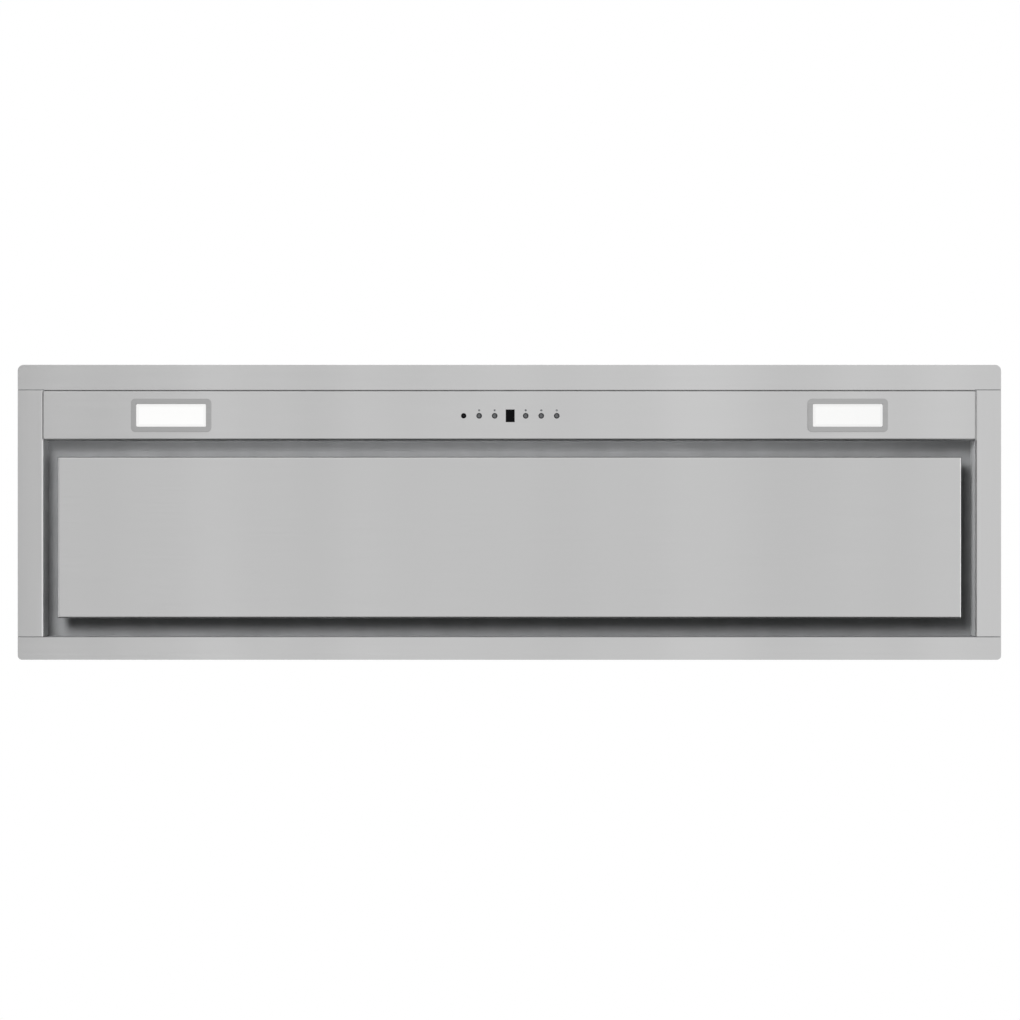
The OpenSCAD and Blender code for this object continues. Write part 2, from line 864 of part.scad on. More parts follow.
module outlet_collar() {
    color(light_plastic) difference() {
        union() {
            translate([0, 0, roof_z]) rotate_extrude() {
                plate(collar_in_r, 0, collar_r + collar_flange, collar_flange_t);
                plate(collar_in_r, 0, collar_r, collar_h);
            }
            for (side = [-1, 1]) {
                slab(side * (collar_in_r + (collar_t - stop_reach) / 2), 0, stop_reach, stop_w,
                    stop_z - stop_t, stop_z);
            }
        }
        bar_y(-collar_r - cut, collar_r + cut, 0, damper_z, damper_pin_r + running_gap);
        screw_holes(collar_screws, roof_z - cut, roof_z + collar_flange_t + cut);
    }
}

module damper_pin() {
    color(zinc) bar_y(damper_pin_end - collar_r, collar_r - damper_pin_end, 0, damper_z, damper_pin_r);
}

// The flap on the left when turn is 0, on the right when turn is 180
module damper_flap(turn) {
    root_x = knuckle_r + knuckle_gap;
    color(aluminium) rotate([0, 0, turn]) difference() {
        union() {
            translate([0, 0, damper_z - flap_t / 2]) linear_extrude(flap_t) difference() {
                circle(flap_r);
                plate(-root_x, -collar_r, collar_r, collar_r);
            }
            for (i = [0:knuckle_pairs - 1]) {
                y0 = (2 * i - knuckle_pairs) * knuckle_l + knuckle_gap / 2;
                y1 = y0 + knuckle_l - knuckle_gap;
                block([-root_x - knuckle_bite, y0, damper_z - flap_t / 2], [0, y1, damper_z + flap_t / 2]);
                bar_y(y0, y1, 0, damper_z, knuckle_r);
            }
        }
        bar_y(-collar_r, collar_r, 0, damper_z, damper_pin_r + running_gap);
    }
}

module damper_flap_left() {
    damper_flap(0);
}

module damper_flap_right() {
    damper_flap(180);
}

// Blower

// Points of the scroll's spiral in the YZ plane, drawn out by the given margin
function scroll_points(margin) = [
    for (a = [scroll_start:-scroll_step:scroll_end])
        let (r = wheel_r + wheel_gap + margin + scroll_growth * (scroll_start - a) / 360)
        [wheel_y + r * cos(a), wheel_z + r * sin(a)]
];

// The scroll's outline: the spiral, closed by the straight outlet neck
module scroll_outline(margin, top) {
    points = scroll_points(margin);
    last = points[len(points) - 1];
    polygon(concat(points, [[last[0], top], [points[0][0] + 2 * margin, top]]));
}

module scroll_half() {
    top = roof_z - inner_t;
    neck_out_y = scroll_points(scroll_t)[0][0] + 2 * scroll_t;
    color(dark_plastic) difference() {
        union() {
            along_x(0, scroll_half_w) scroll_outline(scroll_t, top);
            block([0, -scroll_neck_y, top - scroll_flange_t],
                [scroll_half_w + scroll_flange_w, neck_out_y, top]);
        }
        along_x(-cut, scroll_half_w - scroll_t) scroll_outline(0, top + cut);
        bar_x(0, scroll_half_w + cut, wheel_y, wheel_z, inlet_r);
    }
}

module blower_scroll_left() {
    mirror([1, 0, 0]) scroll_half();
}

module blower_scroll_right() {
    scroll_half();
}

// A point in the YZ plane at a radius and an angle round the wheel's axis
function wheel_point(r, a) = [wheel_y + r * cos(a), wheel_z + r * sin(a)];

module impeller() {
    color(dark_plastic) difference() {
        union() {
            bar_x(-wheel_disc_half_t, wheel_disc_half_t, wheel_y, wheel_z, wheel_disc_r);
            bar_x(-hub_l, wheel_disc_half_t, wheel_y, wheel_z, hub_r);
            for (i = [0:blade_count - 1]) {
                a = i * 360 / blade_count;
                along_x(-wheel_half_w, wheel_half_w) polygon([
                    wheel_point(blade_in_r, a),
                    wheel_point(blade_mid_r, a - blade_bow),
                    wheel_point(blade_tip_r, a - blade_lean),
                    wheel_point(blade_tip_r, a - blade_lean + blade_angle),
                    wheel_point(blade_mid_r, a - blade_bow + blade_angle),
                    wheel_point(blade_in_r, a + blade_angle)
                ]);
            }
            for (x = [-wheel_half_w, wheel_half_w - wheel_ring_w]) {
                difference() {
                    bar_x(x, x + wheel_ring_w, wheel_y, wheel_z, wheel_r);
                    bar_x(x - cut, x + wheel_ring_w + cut, wheel_y, wheel_z, wheel_r - wheel_ring_t);
                }
            }
        }
        bar_x(-hub_l - cut, hub_l, wheel_y, wheel_z, shaft_r);
    }
}

module motor_shaft() {
    color(zinc) bar_x(-hub_l - shaft_tail, scroll_half_w - shaft_seat - shaft_tail,
        wheel_y, wheel_z, shaft_r);
}

module motor_case() {
    color(zinc) difference() {
        union() {
            bar_x(motor_x0 + motor_nose_l, scroll_half_w, wheel_y, wheel_z, motor_r);
            bar_x(motor_x0, motor_x0 + motor_nose_l + cut, wheel_y, wheel_z, motor_nose_r);
        }
        bar_x(motor_x0 - cut, scroll_half_w - shaft_seat, wheel_y, wheel_z, shaft_r + running_gap);
    }
}

// Three arms that carry the motor on the right half of the scroll
module motor_bracket() {
    color(zinc) along_x(scroll_half_w, scroll_half_w + bracket_t) translate([wheel_y, wheel_z]) {
        circle(bracket_hub_r);
        for (a = [30:120:270]) rotate(a) plate(0, -bracket_arm_w / 2, bracket_reach, bracket_arm_w / 2);
    }
}

// Electronics box on the chassis

module electronics_box() {
    color(zinc) difference() {
        union() {
            difference() {
                block([box_x0, box_y0, deck_z], [box_x1, box_y1, box_z1]);
                block([box_x0 + box_t, box_y0 + box_t, deck_z + box_t],
                    [box_x1 - box_t, box_y1 - box_t, box_z1 + cut]);
            }
            for (p = cover_screws) {
                slab(p[0], p[1], cover_block_w + box_t, cover_block_w, box_z1 - cover_block_h, box_z1);
            }
        }
        screw_holes(cover_screws, box_z1 - cover_block_h + cut, box_z1 + cut);
        bar_x(box_x0 - cut, box_x0 + box_t + cut, board_mid_y, gland_z, gland_r + running_gap);
        bar_x(box_x1 - box_t - cut, box_x1 + cut, motor_wire_y, motor_wire_z, wire_hole_r);
        for (w = deck_wires) post(w[0], w[1], wire_hole_r, deck_z - cut, deck_z + box_t + cut);
    }
}

module electronics_cover() {
    color(zinc) difference() {
        block([box_x0 - cover_lap, box_y0 - cover_lap, box_z1],
            [box_x1 + cover_lap, box_y1 + cover_lap, box_z1 + box_t]);
        screw_holes(cover_screws, box_z1 - cut, box_z1 + box_t + cut);
    }
}

// Board with its transformer, relay and four stand-offs
module main_board() {
    x0 = box_x0 + board_left;
    x1 = box_x1 - board_right;
    root_z = board_top_z - board_t / 2;
    color(board_green) {
        block([x0, board_y0, box_board_z], [x1, board_y1, board_top_z]);
        slab(transformer_x, part_row_y, transformer_w, transformer_l, root_z, board_top_z + transformer_h);
        slab(relay_x, part_row_y, relay_w, relay_l, root_z, board_top_z + relay_h);
        for (x = [x0 + standoff_inset, x1 - standoff_inset],
            y = [board_y0 + standoff_inset, board_y1 - standoff_inset]) {
            post(x, y, standoff_r, deck_z + box_t, root_z);
        }
    }
}

module capacitor() {
    color(light_plastic) bar_y(board_mid_y - capacitor_l / 2, board_mid_y + capacitor_l / 2, capacitor_x,
        board_top_z + capacitor_r, capacitor_r);
}

module terminal_block() {
    top = board_top_z + terminal_h;
    color(light_plastic) difference() {
        slab(terminal_x, board_mid_y, terminal_w, terminal_l, board_top_z, top);
        for (i = [-1:1]) {
            post(terminal_x, board_mid_y + i * terminal_pitch, terminal_hole_r,
                top - terminal_hole_h, top + cut);
        }
    }
}

module cable_gland() {
    x0 = box_x0 - gland_out;
    x1 = box_x0 + box_t + gland_in;
    rim_r = gland_r + gland_nut_rim;
    color(dark_plastic) difference() {
        union() {
            bar_x(x0, x1, board_mid_y, gland_z, gland_r);
            bar_x(box_x0 - gland_nut_t, box_x0, board_mid_y, gland_z, rim_r);
            bar_x(box_x0 + box_t, box_x0 + box_t + gland_nut_t, board_mid_y, gland_z, rim_r);
        }
        bar_x(x0 - cut, x1 + cut, board_mid_y, gland_z, gland_bore_r);
    }
}

// Controls behind the fascia

module control_holder() {
    x0 = sensor_x - holder_end;
    x1 = power_x + holder_end;
    color(dark_plastic) difference() {
        union() {
            block([x0, row_y - holder_side, skin_z], [x1, row_y + holder_side, holder_z]);
            for (x = boss_xs) {
                slab(x, row_y, holder_ear + snug_gap, holder_ear, skin_z + boss_h,
                    skin_z + boss_h + holder_ear_t);
            }
            for (x = [x0 + holder_foot / 2, x1 - holder_foot / 2], side = [-1, 1]) {
                slab(x, row_y + side * (holder_side - holder_foot / 2), holder_foot, holder_foot,
                    holder_z - cut, board_z);
            }
        }
        for (x = button_xs) {
            post(x, row_y, button_r + button_rim + free_gap, skin_z - cut, skin_z + pocket_h);
            post(x, row_y, stem_r + running_gap, skin_z, holder_z + cut);
            post(x, row_y - indicator_gap, indicator_r + running_gap, skin_z - cut, holder_z + cut);
        }
        slab(control_x, row_y, display_w + display_pocket, display_d + display_pocket,
            skin_z - cut, holder_z + cut);
        post(sensor_x, row_y, sensor_r + running_gap, skin_z - cut, holder_z + cut);
        screw_holes(holder_screws, skin_z, holder_z + cut);
    }
}

module control_board() {
    color(board_green) block([sensor_x - holder_end, row_y - holder_side, board_z],
        [power_x + holder_end, row_y + holder_side, board_z + board_t]);
}

module button_switches() {
    color(dark_plastic) for (x = button_xs) slab(x, row_y, switch_w, switch_w, switch_z, board_z);
}

module display_module() {
    color(dark_plastic) slab(control_x, row_y, display_w + module_lap, display_d + module_lap,
        skin_z + window_rim_t + module_gap, board_z);
}

module display_window() {
    color("#15171a") {
        slab(control_x, row_y, display_w, display_d, face_z, skin_z + window_neck);
        slab(control_x, row_y, display_w + window_lap, display_d + window_lap,
            skin_z, skin_z + window_rim_t);
    }
}

module sensor_ring() {
    color("#141414") difference() {
        post(sensor_x, row_y, sensor_r, face_z - sensor_proud, holder_z);
        post(sensor_x, row_y, sensor_lens_r + running_gap, 0, holder_z + cut);
    }
}

module sensor_lens() {
    color("#6e7276") post(sensor_x, row_y, sensor_lens_r, face_z - sensor_lens_proud, board_z);
}

module indicator_pipes() {
    color("#a0a4a8") for (x = button_xs) {
        post(x, row_y - indicator_gap, indicator_r, face_z, stem_top);
    }
}

module push_button(x) {
    flange_z = skin_z + free_gap;
    color(aluminium) {
        post(x, row_y, button_r, face_z - button_proud, flange_z + button_flange_t);
        post(x, row_y, button_r + button_rim, flange_z, flange_z + button_flange_t);
        post(x, row_y, stem_r, flange_z, stem_top);
    }
}

module light_button() {
    push_button(light_x);
}

module timer_button() {
    push_button(timer_x);
}

module speed_down_button() {
    push_button(speed_down_x);
}

module speed_up_button() {
    push_button(speed_up_x);
}

module power_button() {
    push_button(power_x);
}

// Lamps

module lamp_bezel(x) {
    color(steel) difference() {
        union() {
            translate([x, lamp_y, 0]) linear_extrude(face_z)
                rounded_plan(lens_w + 2 * bezel_rim, lens_d + 2 * bezel_rim, bezel_corner_r, bezel_corner_r);
            slab(x, lamp_y, lamp_neck_w, lamp_neck_d, face_z / 2, face_z + bezel_neck_h);
        }
        slab(x, lamp_y, lens_w + snug_gap, lens_d + snug_gap, -cut, face_z + bezel_neck_h + cut);
    }
}

module lamp_lens(x) {
    color("white") translate([x, lamp_y, lens_z]) linear_extrude(lens_t)
        rounded_plan(lens_w, lens_d, lens_corner_r, lens_corner_r);
}

module lamp_bezel_left() {
    lamp_bezel(-lamp_x);
}

module lamp_bezel_right() {
    lamp_bezel(lamp_x);
}

module lamp_lens_left() {
    lamp_lens(-lamp_x);
}

module lamp_lens_right() {
    lamp_lens(lamp_x);
}

// Light engines: a cooled body with a foot that presses the lens into its bezel
module lamp_bodies() {
    neck_z = face_z + bezel_neck_h;
    color(aluminium) for (side = [-1, 1]) {
        x = side * lamp_x;
        slab(x, lamp_y, lens_w - engine_play, lens_d - engine_play, lens_z + lens_t, neck_z + engine_lap);
        slab(x, lamp_y, lamp_neck_w, lamp_neck_d, neck_z, neck_z + engine_plate_t);
        for (i = [0:fin_count - 1]) {
            fin_x = x + (i - (fin_count - 1) / 2) * lamp_neck_w / fin_count;
            slab(fin_x, lamp_y, fin_t, lamp_neck_d - 2 * fin_inset,
                neck_z + engine_plate_t - cut, lamp_top_z);
        }
    }
}

// Panel

// A box whose lower edges are rounded; the upper side is open ended
module soft_box(x, y0, y1, z0, z1, r) {
    intersection() {
        along_y(y0, y1) soft_outline(-x, x, z0, z1, r);
        along_x(-x, x) soft_outline(y0, y1, z0, z1, r);
    }
}

module soft_outline(a, b, z0, z1, r) {
    plate(a + r, z0, b - r, z1);
    plate(a, z0 + r, b, z1);
    translate([a + r, z0 + r]) circle(r);
    translate([b - r, z0 + r]) circle(r);
}

module panel_skin() {
    t = panel_t;
    color(steel) difference() {
        soft_box(panel_x, panel_y0, panel_y1, panel_z, panel_top_z, panel_bend_r);
        soft_box(panel_x - t, panel_y0 + t, panel_y1 - t, panel_in_z, panel_top_z + cut,
            panel_bend_r - t);
    }
}

// Two hat rails that keep the panel flat
module panel_stiffeners() {
    half = window_end_x - hat_end;
    top = panel_top_z - hat_play;
    out = hat_w / 2 + hat_foot;
    color(zinc) for (y = hat_ys) {
        along_x(-half, half) {
            plate(y - out, panel_in_z, y - hat_w / 2, panel_in_z + hat_t);
            plate(y + hat_w / 2, panel_in_z, y + out, panel_in_z + hat_t);
            plate(y - hat_w / 2, panel_in_z, y - hat_w / 2 + hat_t, top);
            plate(y + hat_w / 2 - hat_t, panel_in_z, y + hat_w / 2, top);
            plate(y - hat_w / 2, top - hat_t, y + hat_w / 2, top);
        }
    }
}

module hinge_arms() {
    rear = hinge_y + arm_rear;
    color(zinc) for (side = [-1, 1]) {
        x = side * hinge_x;
        difference() {
            union() {
                block([x - leaf_half_w, hinge_y - leaf_front, panel_in_z],
                    [x + leaf_half_w, rear, panel_in_z + leaf_t]);
                block([x - arm_half_w, hinge_y - arm_front, panel_in_z], [x + arm_half_w, rear, hinge_z]);
                bar_x(x - arm_half_w, x + arm_half_w, hinge_y, hinge_z, arm_eye_r);
            }
            bar_x(x - leaf_half_w, x + leaf_half_w, hinge_y, hinge_z, hinge_pin_r + running_gap);
        }
    }
}

module hinge_brackets() {
    color(zinc) for (side = [-1, 1]) {
        x = side * hinge_x;
        difference() {
            union() {
                block([x - hinge_plate_half_w, hinge_y - hinge_plate_front, hinge_plate_z],
                    [x + hinge_plate_half_w, hinge_y + hinge_plate_rear, floor_z]);
                for (ex = [x - ear_x - ear_t, x + ear_x]) {
                    block([ex, hinge_y - hinge_ear_r, hinge_z],
                        [ex + ear_t, hinge_y + hinge_ear_r, hinge_plate_z + hinge_plate_t / 2]);
                    bar_x(ex, ex + ear_t, hinge_y, hinge_z, hinge_ear_r);
                }
            }
            bar_x(x - hinge_plate_half_w, x + hinge_plate_half_w, hinge_y, hinge_z,
                hinge_pin_r + running_gap);
            for (off = [-1, 1]) {
                post(x + off * hinge_screw_x, hinge_y, screw_hole_r, hinge_plate_z - cut, floor_z + cut);
            }
        }
    }
}

module hinge_pins() {
    end = ear_x + ear_t;
    color(zinc) for (side = [-1, 1]) {
        x = side * hinge_x;
        head_x = x - end - pin_play;
        bar_x(head_x, x + end + pin_tail, hinge_y, hinge_z, hinge_pin_r);
        bar_x(head_x - pin_head_t, head_x, hinge_y, hinge_z, hinge_pin_r + pin_head_rim);
    }
}

module catch_magnets() {
    color(dark_plastic) for (side = [-1, 1]) {
        slab(side * magnet_x, magnet_y, magnet_w, magnet_l, floor_z - magnet_h, floor_z);
    }
}

// Bridges that the magnets hold, standing in the panel
module catch_strikes() {
    top = floor_z - magnet_h - free_gap;
    leg_y = strike_l / 2 - strike_t / 2;
    foot_d = strike_t + strike_foot;
    foot_y = strike_l / 2 - strike_t + foot_d / 2;
    color(zinc) for (side = [-1, 1]) {
        x = side * magnet_x;
        slab(x, magnet_y, strike_w, strike_l, top - strike_t, top);
        for (end = [-1, 1]) {
            slab(x, magnet_y + end * leg_y, strike_w, strike_t, panel_in_z, top);
            slab(x, magnet_y + end * foot_y, strike_w, foot_d, panel_in_z, panel_in_z + strike_t);
        }
    }
}

// Filters

module filter_frame(x) {
    color(aluminium) difference() {
        union() {
            block([x - filter_half_w, filter_y0, filter_z0], [x + filter_half_w, filter_y1, filter_z1]);
            for (off = [-1, 1]) {
                slab(x + off * window_w / 4, filter_y1, tongue_w, 2 * tongue_bite,
                    bolt_z, bolt_z + tongue_t);
            }
        }
        block([x - filter_half_w + filter_rim, filter_y0 + latch_rim, filter_z0 - cut],
            [x + filter_half_w - filter_rim, filter_y1 - filter_rim, filter_z1 + cut]);
        block([x - latch_w / 2 - free_gap, latch_slot_y0, filter_z0 - cut],
            [x + latch_w / 2 + free_gap, latch_slot_y1, filter_z1 + cut]);
        block([x - latch_w / 2 - free_gap, filter_y0 - cut, bolt_z - free_gap],
            [x + latch_w / 2 + free_gap, latch_slot_y0 + cut, bolt_z + latch_bolt_t + free_gap]);
    }
}

module filter_frames() {
    for (side = [-1, 1]) filter_frame(side * window_x);
}

module filter_meshes() {
    half_w = filter_half_w - filter_rim;
    color("#9da0a3") for (side = [-1, 1]) {
        block([side * window_x - half_w, filter_y0 + latch_rim, filter_z0 + mesh_inset],
            [side * window_x + half_w, filter_y1 - filter_rim, filter_z1 - mesh_inset]);
    }
}

module filter_latch(x) {
    stem_y0 = latch_slot_y0 + free_gap;
    grip_z = filter_z0 - free_gap;
    color(dark_plastic) {
        slab(x, stem_y0 + latch_stem / 2, latch_w, latch_stem, grip_z - cut, bolt_z + latch_bolt_t);
        block([x - latch_w / 2, window_y0 - latch_bite, bolt_z],
            [x + latch_w / 2, stem_y0 + latch_stem, bolt_z + latch_bolt_t]);
        block([x - grip_w / 2, stem_y0, grip_z - grip_t], [x + grip_w / 2, stem_y0 + grip_d, grip_z]);
        block([x - grip_w / 2, stem_y0 + grip_d - grip_lip_t, grip_z - grip_t - grip_lip_h],
            [x + grip_w / 2, stem_y0 + grip_d, grip_z - cut]);
    }
}

module filter_latch_left() {
    filter_latch(-window_x);
}

module filter_latch_right() {
    filter_latch(window_x);
}

// Wiring

function unit(v) = v / norm(v);

// Direction of a route at one of its points
function heading(p, i) = unit(
    (i > 0 ? unit(p[i] - p[i - 1]) : [0, 0, 0])
    + (i < len(p) - 1 ? unit(p[i + 1] - p[i]) : [0, 0, 0]));

// A direction square to the route, carried along it without twist
function sideways(p, i) = i == 0 ? unit(cross(heading(p, 0), [1, 2, 3]))
    : let (t = heading(p, i), s = sideways(p, i - 1)) unit(s - t * (t * s));

// A round wire along a route
module wire(p, r) {
    n = wire_sides;
    last = len(p) - 1;
    points = [for (i = [0:last], k = [0:n - 1])
        let (s = sideways(p, i), a = 360 * k / n)
        p[i] + r * (cos(a) * s + sin(a) * cross(heading(p, i), s))];
    skin = [for (i = [0:last - 1], k = [0:n - 1])
        let (a = i * n + k, b = i * n + (k + 1) % n)
        each [[a, a + n, b + n], [a, b + n, b]]];
    start = [for (k = [1:n - 2]) [0, k, k + 1]];
    end = [for (k = [1:n - 2]) [last * n, last * n + k + 1, last * n + k]];
    polyhedron(points, concat(skin, start, end));
}

module inner_wiring() {
    color(dark_plastic) for (route = wire_routes) wire(route, wire_r);
}

// Screws: heads up, or heads down under the tray

module screw(p, z, flip) {
    translate([p[0], p[1], z]) mirror([0, 0, flip ? 1 : 0]) {
        cylinder(r = head_r, h = head_h);
        translate([0, 0, -screw_l]) cylinder(r = screw_r, h = screw_l + head_h / 2);
    }
}

module assembly_screws() {
    color(zinc) {
        for (p = chassis_screws) screw(p, deck_z, false);
        for (p = foot_screws) screw(p, deck_z + inner_t, false);
        for (p = roof_screws) screw(p, roof_z, false);
        for (p = collar_screws) screw(p, roof_z + collar_flange_t, false);
        for (p = cover_screws) screw(p, box_z1 + box_t, false);
        for (p = holder_screws) screw(p, skin_z + boss_h + holder_ear_t, false);
        for (p = hinge_screws) screw(p, hinge_plate_z, true);
    }
}

front_rail();
rear_rail();
left_rail();
right_rail();
control_fascia();
intake_tray();
chassis_wrap();
chassis_end_left();
chassis_end_right();
air_baffle();
motor_housing();
housing_end_left();
housing_end_right();
outlet_collar();
damper_pin();
damper_flap_left();
damper_flap_right();
blower_scroll_left();
blower_scroll_right();
impeller();
motor_shaft();
motor_case();
motor_bracket();
electronics_box();
electronics_cover();
main_board();
capacitor();
terminal_block();
cable_gland();
control_holder();
control_board();
button_switches();
display_module();
display_window();
sensor_ring();
sensor_lens();
indicator_pipes();
light_button();
timer_button();
speed_down_button();
speed_up_button();
power_button();
lamp_bezel_left();
lamp_bezel_right();
lamp_lens_left();
lamp_lens_right();
lamp_bodies();
panel_skin();
panel_stiffeners();
hinge_arms();
hinge_brackets();
hinge_pins();
catch_magnets();
catch_strikes();
filter_frames();
filter_meshes();
filter_latch_left();
filter_latch_right();
inner_wiring();
assembly_screws();
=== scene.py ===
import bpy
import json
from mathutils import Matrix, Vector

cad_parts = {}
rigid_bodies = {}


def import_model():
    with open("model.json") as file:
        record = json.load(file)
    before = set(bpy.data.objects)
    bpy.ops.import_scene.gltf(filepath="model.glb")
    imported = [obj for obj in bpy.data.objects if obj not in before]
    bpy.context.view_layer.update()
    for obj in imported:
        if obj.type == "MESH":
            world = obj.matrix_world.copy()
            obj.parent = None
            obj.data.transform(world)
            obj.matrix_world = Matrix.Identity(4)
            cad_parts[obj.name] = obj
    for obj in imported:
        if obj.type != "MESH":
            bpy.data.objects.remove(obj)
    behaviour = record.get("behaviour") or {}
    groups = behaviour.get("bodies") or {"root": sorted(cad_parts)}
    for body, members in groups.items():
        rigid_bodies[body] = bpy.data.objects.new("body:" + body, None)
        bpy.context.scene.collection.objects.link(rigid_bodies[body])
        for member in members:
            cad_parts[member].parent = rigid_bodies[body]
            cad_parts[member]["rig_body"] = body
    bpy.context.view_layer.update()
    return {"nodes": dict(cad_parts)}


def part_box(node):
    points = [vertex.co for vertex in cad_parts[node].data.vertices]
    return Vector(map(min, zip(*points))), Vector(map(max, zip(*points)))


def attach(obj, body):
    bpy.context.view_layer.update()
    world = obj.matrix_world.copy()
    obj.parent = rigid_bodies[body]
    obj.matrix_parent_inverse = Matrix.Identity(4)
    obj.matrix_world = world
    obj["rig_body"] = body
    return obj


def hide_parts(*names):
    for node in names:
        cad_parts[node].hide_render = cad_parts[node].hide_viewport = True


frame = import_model()

import json
import math

import bpy
from bpy.props import FloatProperty, FloatVectorProperty, IntProperty, PointerProperty
from bpy.types import Operator, Panel, PropertyGroup
from mathutils import Vector

bl_info = {
    "name": "Built-in range hood",
    "version": (1, 0, 0),
    "blender": (4, 5, 0),
    "location": "3D View > Sidebar > Range Hood",
    "description": "Dresses the packed model of a built-in range hood and sets its studio",
    "category": "Object",
}

MM = 0.001
SIDES = ("left", "right")
NODES = frame["nodes"]

# Points closer than this are merged, and faces that lean less than this are joined
MERGE = 0.001 * MM
FLAT = math.radians(0.6)
# How far a face's normal has to reach along an axis: nearly all the way, or at a slant
SQUARE, INCLINED = 0.999, 0.9
# A wall with more area than this, in square metres, takes a swage
LARGE_WALL = 0.01
# Height above the face at which the folds of the frame end and the walls of the recess begin, which
# take the painted shade of the wall finish
FOLD_END = 3.5 * MM
# What the colour settings share
COLOUR = {"subtype": "COLOR", "size": 4, "min": 0.0, "max": 1.0}
# Depth and strength of the relief that brushing leaves in steel
BRUSHED = (0.003 * MM, 0.4)

# Profiles of turned pieces as (radius, height) in millimetres
WELD_DIMPLE = [(0.1, -0.5), (1.6, -0.5), (1.6, 0.1), (0.9, 0.45), (0.1, 0.5)]
COLLAR_BEAD = [(74.0, 0), (74.6, 0), (75.5, 0.5), (75.9, 1.4), (75.5, 2.3), (74.6, 2.8), (74.0, 2.8)]
GLAND_RIB = [(0.5, 3.4), (0.7, 4.0), (0.7, 8.6), (0.5, 9.2)]
PAN_SCREW = [(0.3, -6.0), (1.35, -5.6), (1.75, -5.0), (1.75, 0.0), (3.65, 0.0), (3.65, 0.5),
             (3.45, 1.1), (2.9, 1.6), (2.0, 1.9), (0.6, 2.0)]
POP_RIVET = [(0.4, 0.55), (0.85, 0.55), (0.95, 1.0), (1.6, 0.8), (2.2, 0.4), (2.4, 0.0),
             (2.4, -0.3), (0.4, -0.3)]

# Turns that lay the axis of a turned piece, which is made along Z, along another one
TURNS = {"Z": (0, 0, 0), "X": (0, math.pi / 2, 0),
         "Y": (-math.pi / 2, 0, 0), "-Y": (math.pi / 2, 0, 0)}

# Rows of pop rivets: node, how far they sit in from its front and rear and from its ends, and
# their heights, all in millimetres
RIVET_ROWS = (("chassis_wrap", 10, 6.5, (24, 48, 72)),
              ("motor_housing", 0, 7.0, (114, 148, 182, 216, 248)))

# The studio in metres: name, place and size of each lamp
KEY_LAMP = ("key_lamp", (-0.86, -0.98, -2.0), (1.0, 1.0))
STRIP_LAMP = ("strip_lamp", (-0.04, -0.044, -0.16), (0.82, 0.05))
TOP_LAMP = ("top_lamp", (1.1, -1.5, 2.4), (3.6, 3.6))
BACK_LAMP = ("back_lamp", (-1.6, 1.9, 1.7), (3.0, 3.0))
# Rim lamps, each with its share of their power
RIM_LAMPS = ((("rim_lamp_right", (2.3, -0.1, -0.45), (1.4, 1.4)), 1.0),
             (("rim_lamp_left", (-2.6, -0.1, -0.45), (1.6, 1.6)), 1.0),
             (("rim_lamp_front", (-0.2, -2.3, -0.3), (1.4, 1.4)), 0.4))
# Grey cards: name, place, size and turn
CARDS = (("left_flag", (-1.15, 0.0, -1.25), 1.8, (0.0, math.pi / 2, 0.0)),
         ("rear_flag", (0.0, 1.15, -0.8), 1.6, (math.pi / 2, 0.0, 0.0)))
# The camera looks up from a point just beside the middle of the hood
CAMERA_X, CAMERA_Y = 0.0005, -0.0021
CAMERA_REACH = 50.0
SENSOR_MM = 36.0
FLOOR_SIZE = 16


# Colour and material helpers

def linear(colour):
    """Turns an sRGB hex colour into linear red, green, blue and alpha, as a setting's colour is."""
    if not isinstance(colour, str):
        return colour
    parts = [int(colour[i:i + 2], 16) / 255 for i in (1, 3, 5)]
    return [c / 12.92 if c <= 0.04045 else ((c + 0.055) / 1.055) ** 2.4 for c in parts] + [1.0]


def add(tree, kind, settings=None, links=None):
    """Adds a shader node with its settings, and links its inputs from (node, output) pairs."""
    made = tree.nodes.new(kind)
    for key, value in (settings or {}).items():
        if isinstance(key, str) and hasattr(made, key):
            setattr(made, key, value)
        else:
            made.inputs[key].default_value = value
    for key, (source, output) in (links or {}).items():
        tree.links.new(source.outputs[output], made.inputs[key])
    return made


def material(name, colour, sockets):
    """A material with one principled shader; gives it, its tree, the shader and the coordinates."""
    made = bpy.data.materials.new(name)
    made.use_nodes = True
    tree = made.node_tree
    shader = tree.nodes["Principled BSDF"]
    shader.inputs["Base Color"].default_value = linear(colour)
    for key, value in sockets.items():
        shader.inputs[key].default_value = value
    made.diffuse_color = linear(colour)
    return made, tree, shader, add(tree, "ShaderNodeTexCoord")


def metal(rough):
    """The sockets of a bare metal."""
    return {"Metallic": 1.0, "Roughness": rough}


def glowing(rough, strength):
    """The sockets of a dark plastic that gives off white light."""
    return {"Roughness": rough, "Emission Color": linear("#ffffff"), "Emission Strength": strength}


def noise(tree, place, scale, detail=2.0, roughness=0.5):
    """Noise whose cells measure 1/scale metres, with one scale or one each for X, Y and Z."""
    scale = scale if isinstance(scale, tuple) else (scale,) * 3
    spread = add(tree, "ShaderNodeMapping", {"Scale": scale}, {"Vector": (place, "Object")})
    return add(tree, "ShaderNodeTexNoise", {"Scale": 1.0, "Detail": detail, "Roughness": roughness},
               {"Vector": (spread, "Vector")})


def spread_colour(tree, shader, source, output, low, high, start=0.3, end=0.7):
    """Colours the shader by a pattern, from one colour at its start value to another at its end."""
    ramp = add(tree, "ShaderNodeValToRGB", links={"Fac": (source, output)})
    for stop, at, colour in zip(ramp.color_ramp.elements, (start, end), (low, high)):
        stop.position = at
        stop.color = linear(colour)
    tree.links.new(ramp.outputs["Color"], shader.inputs["Base Color"])


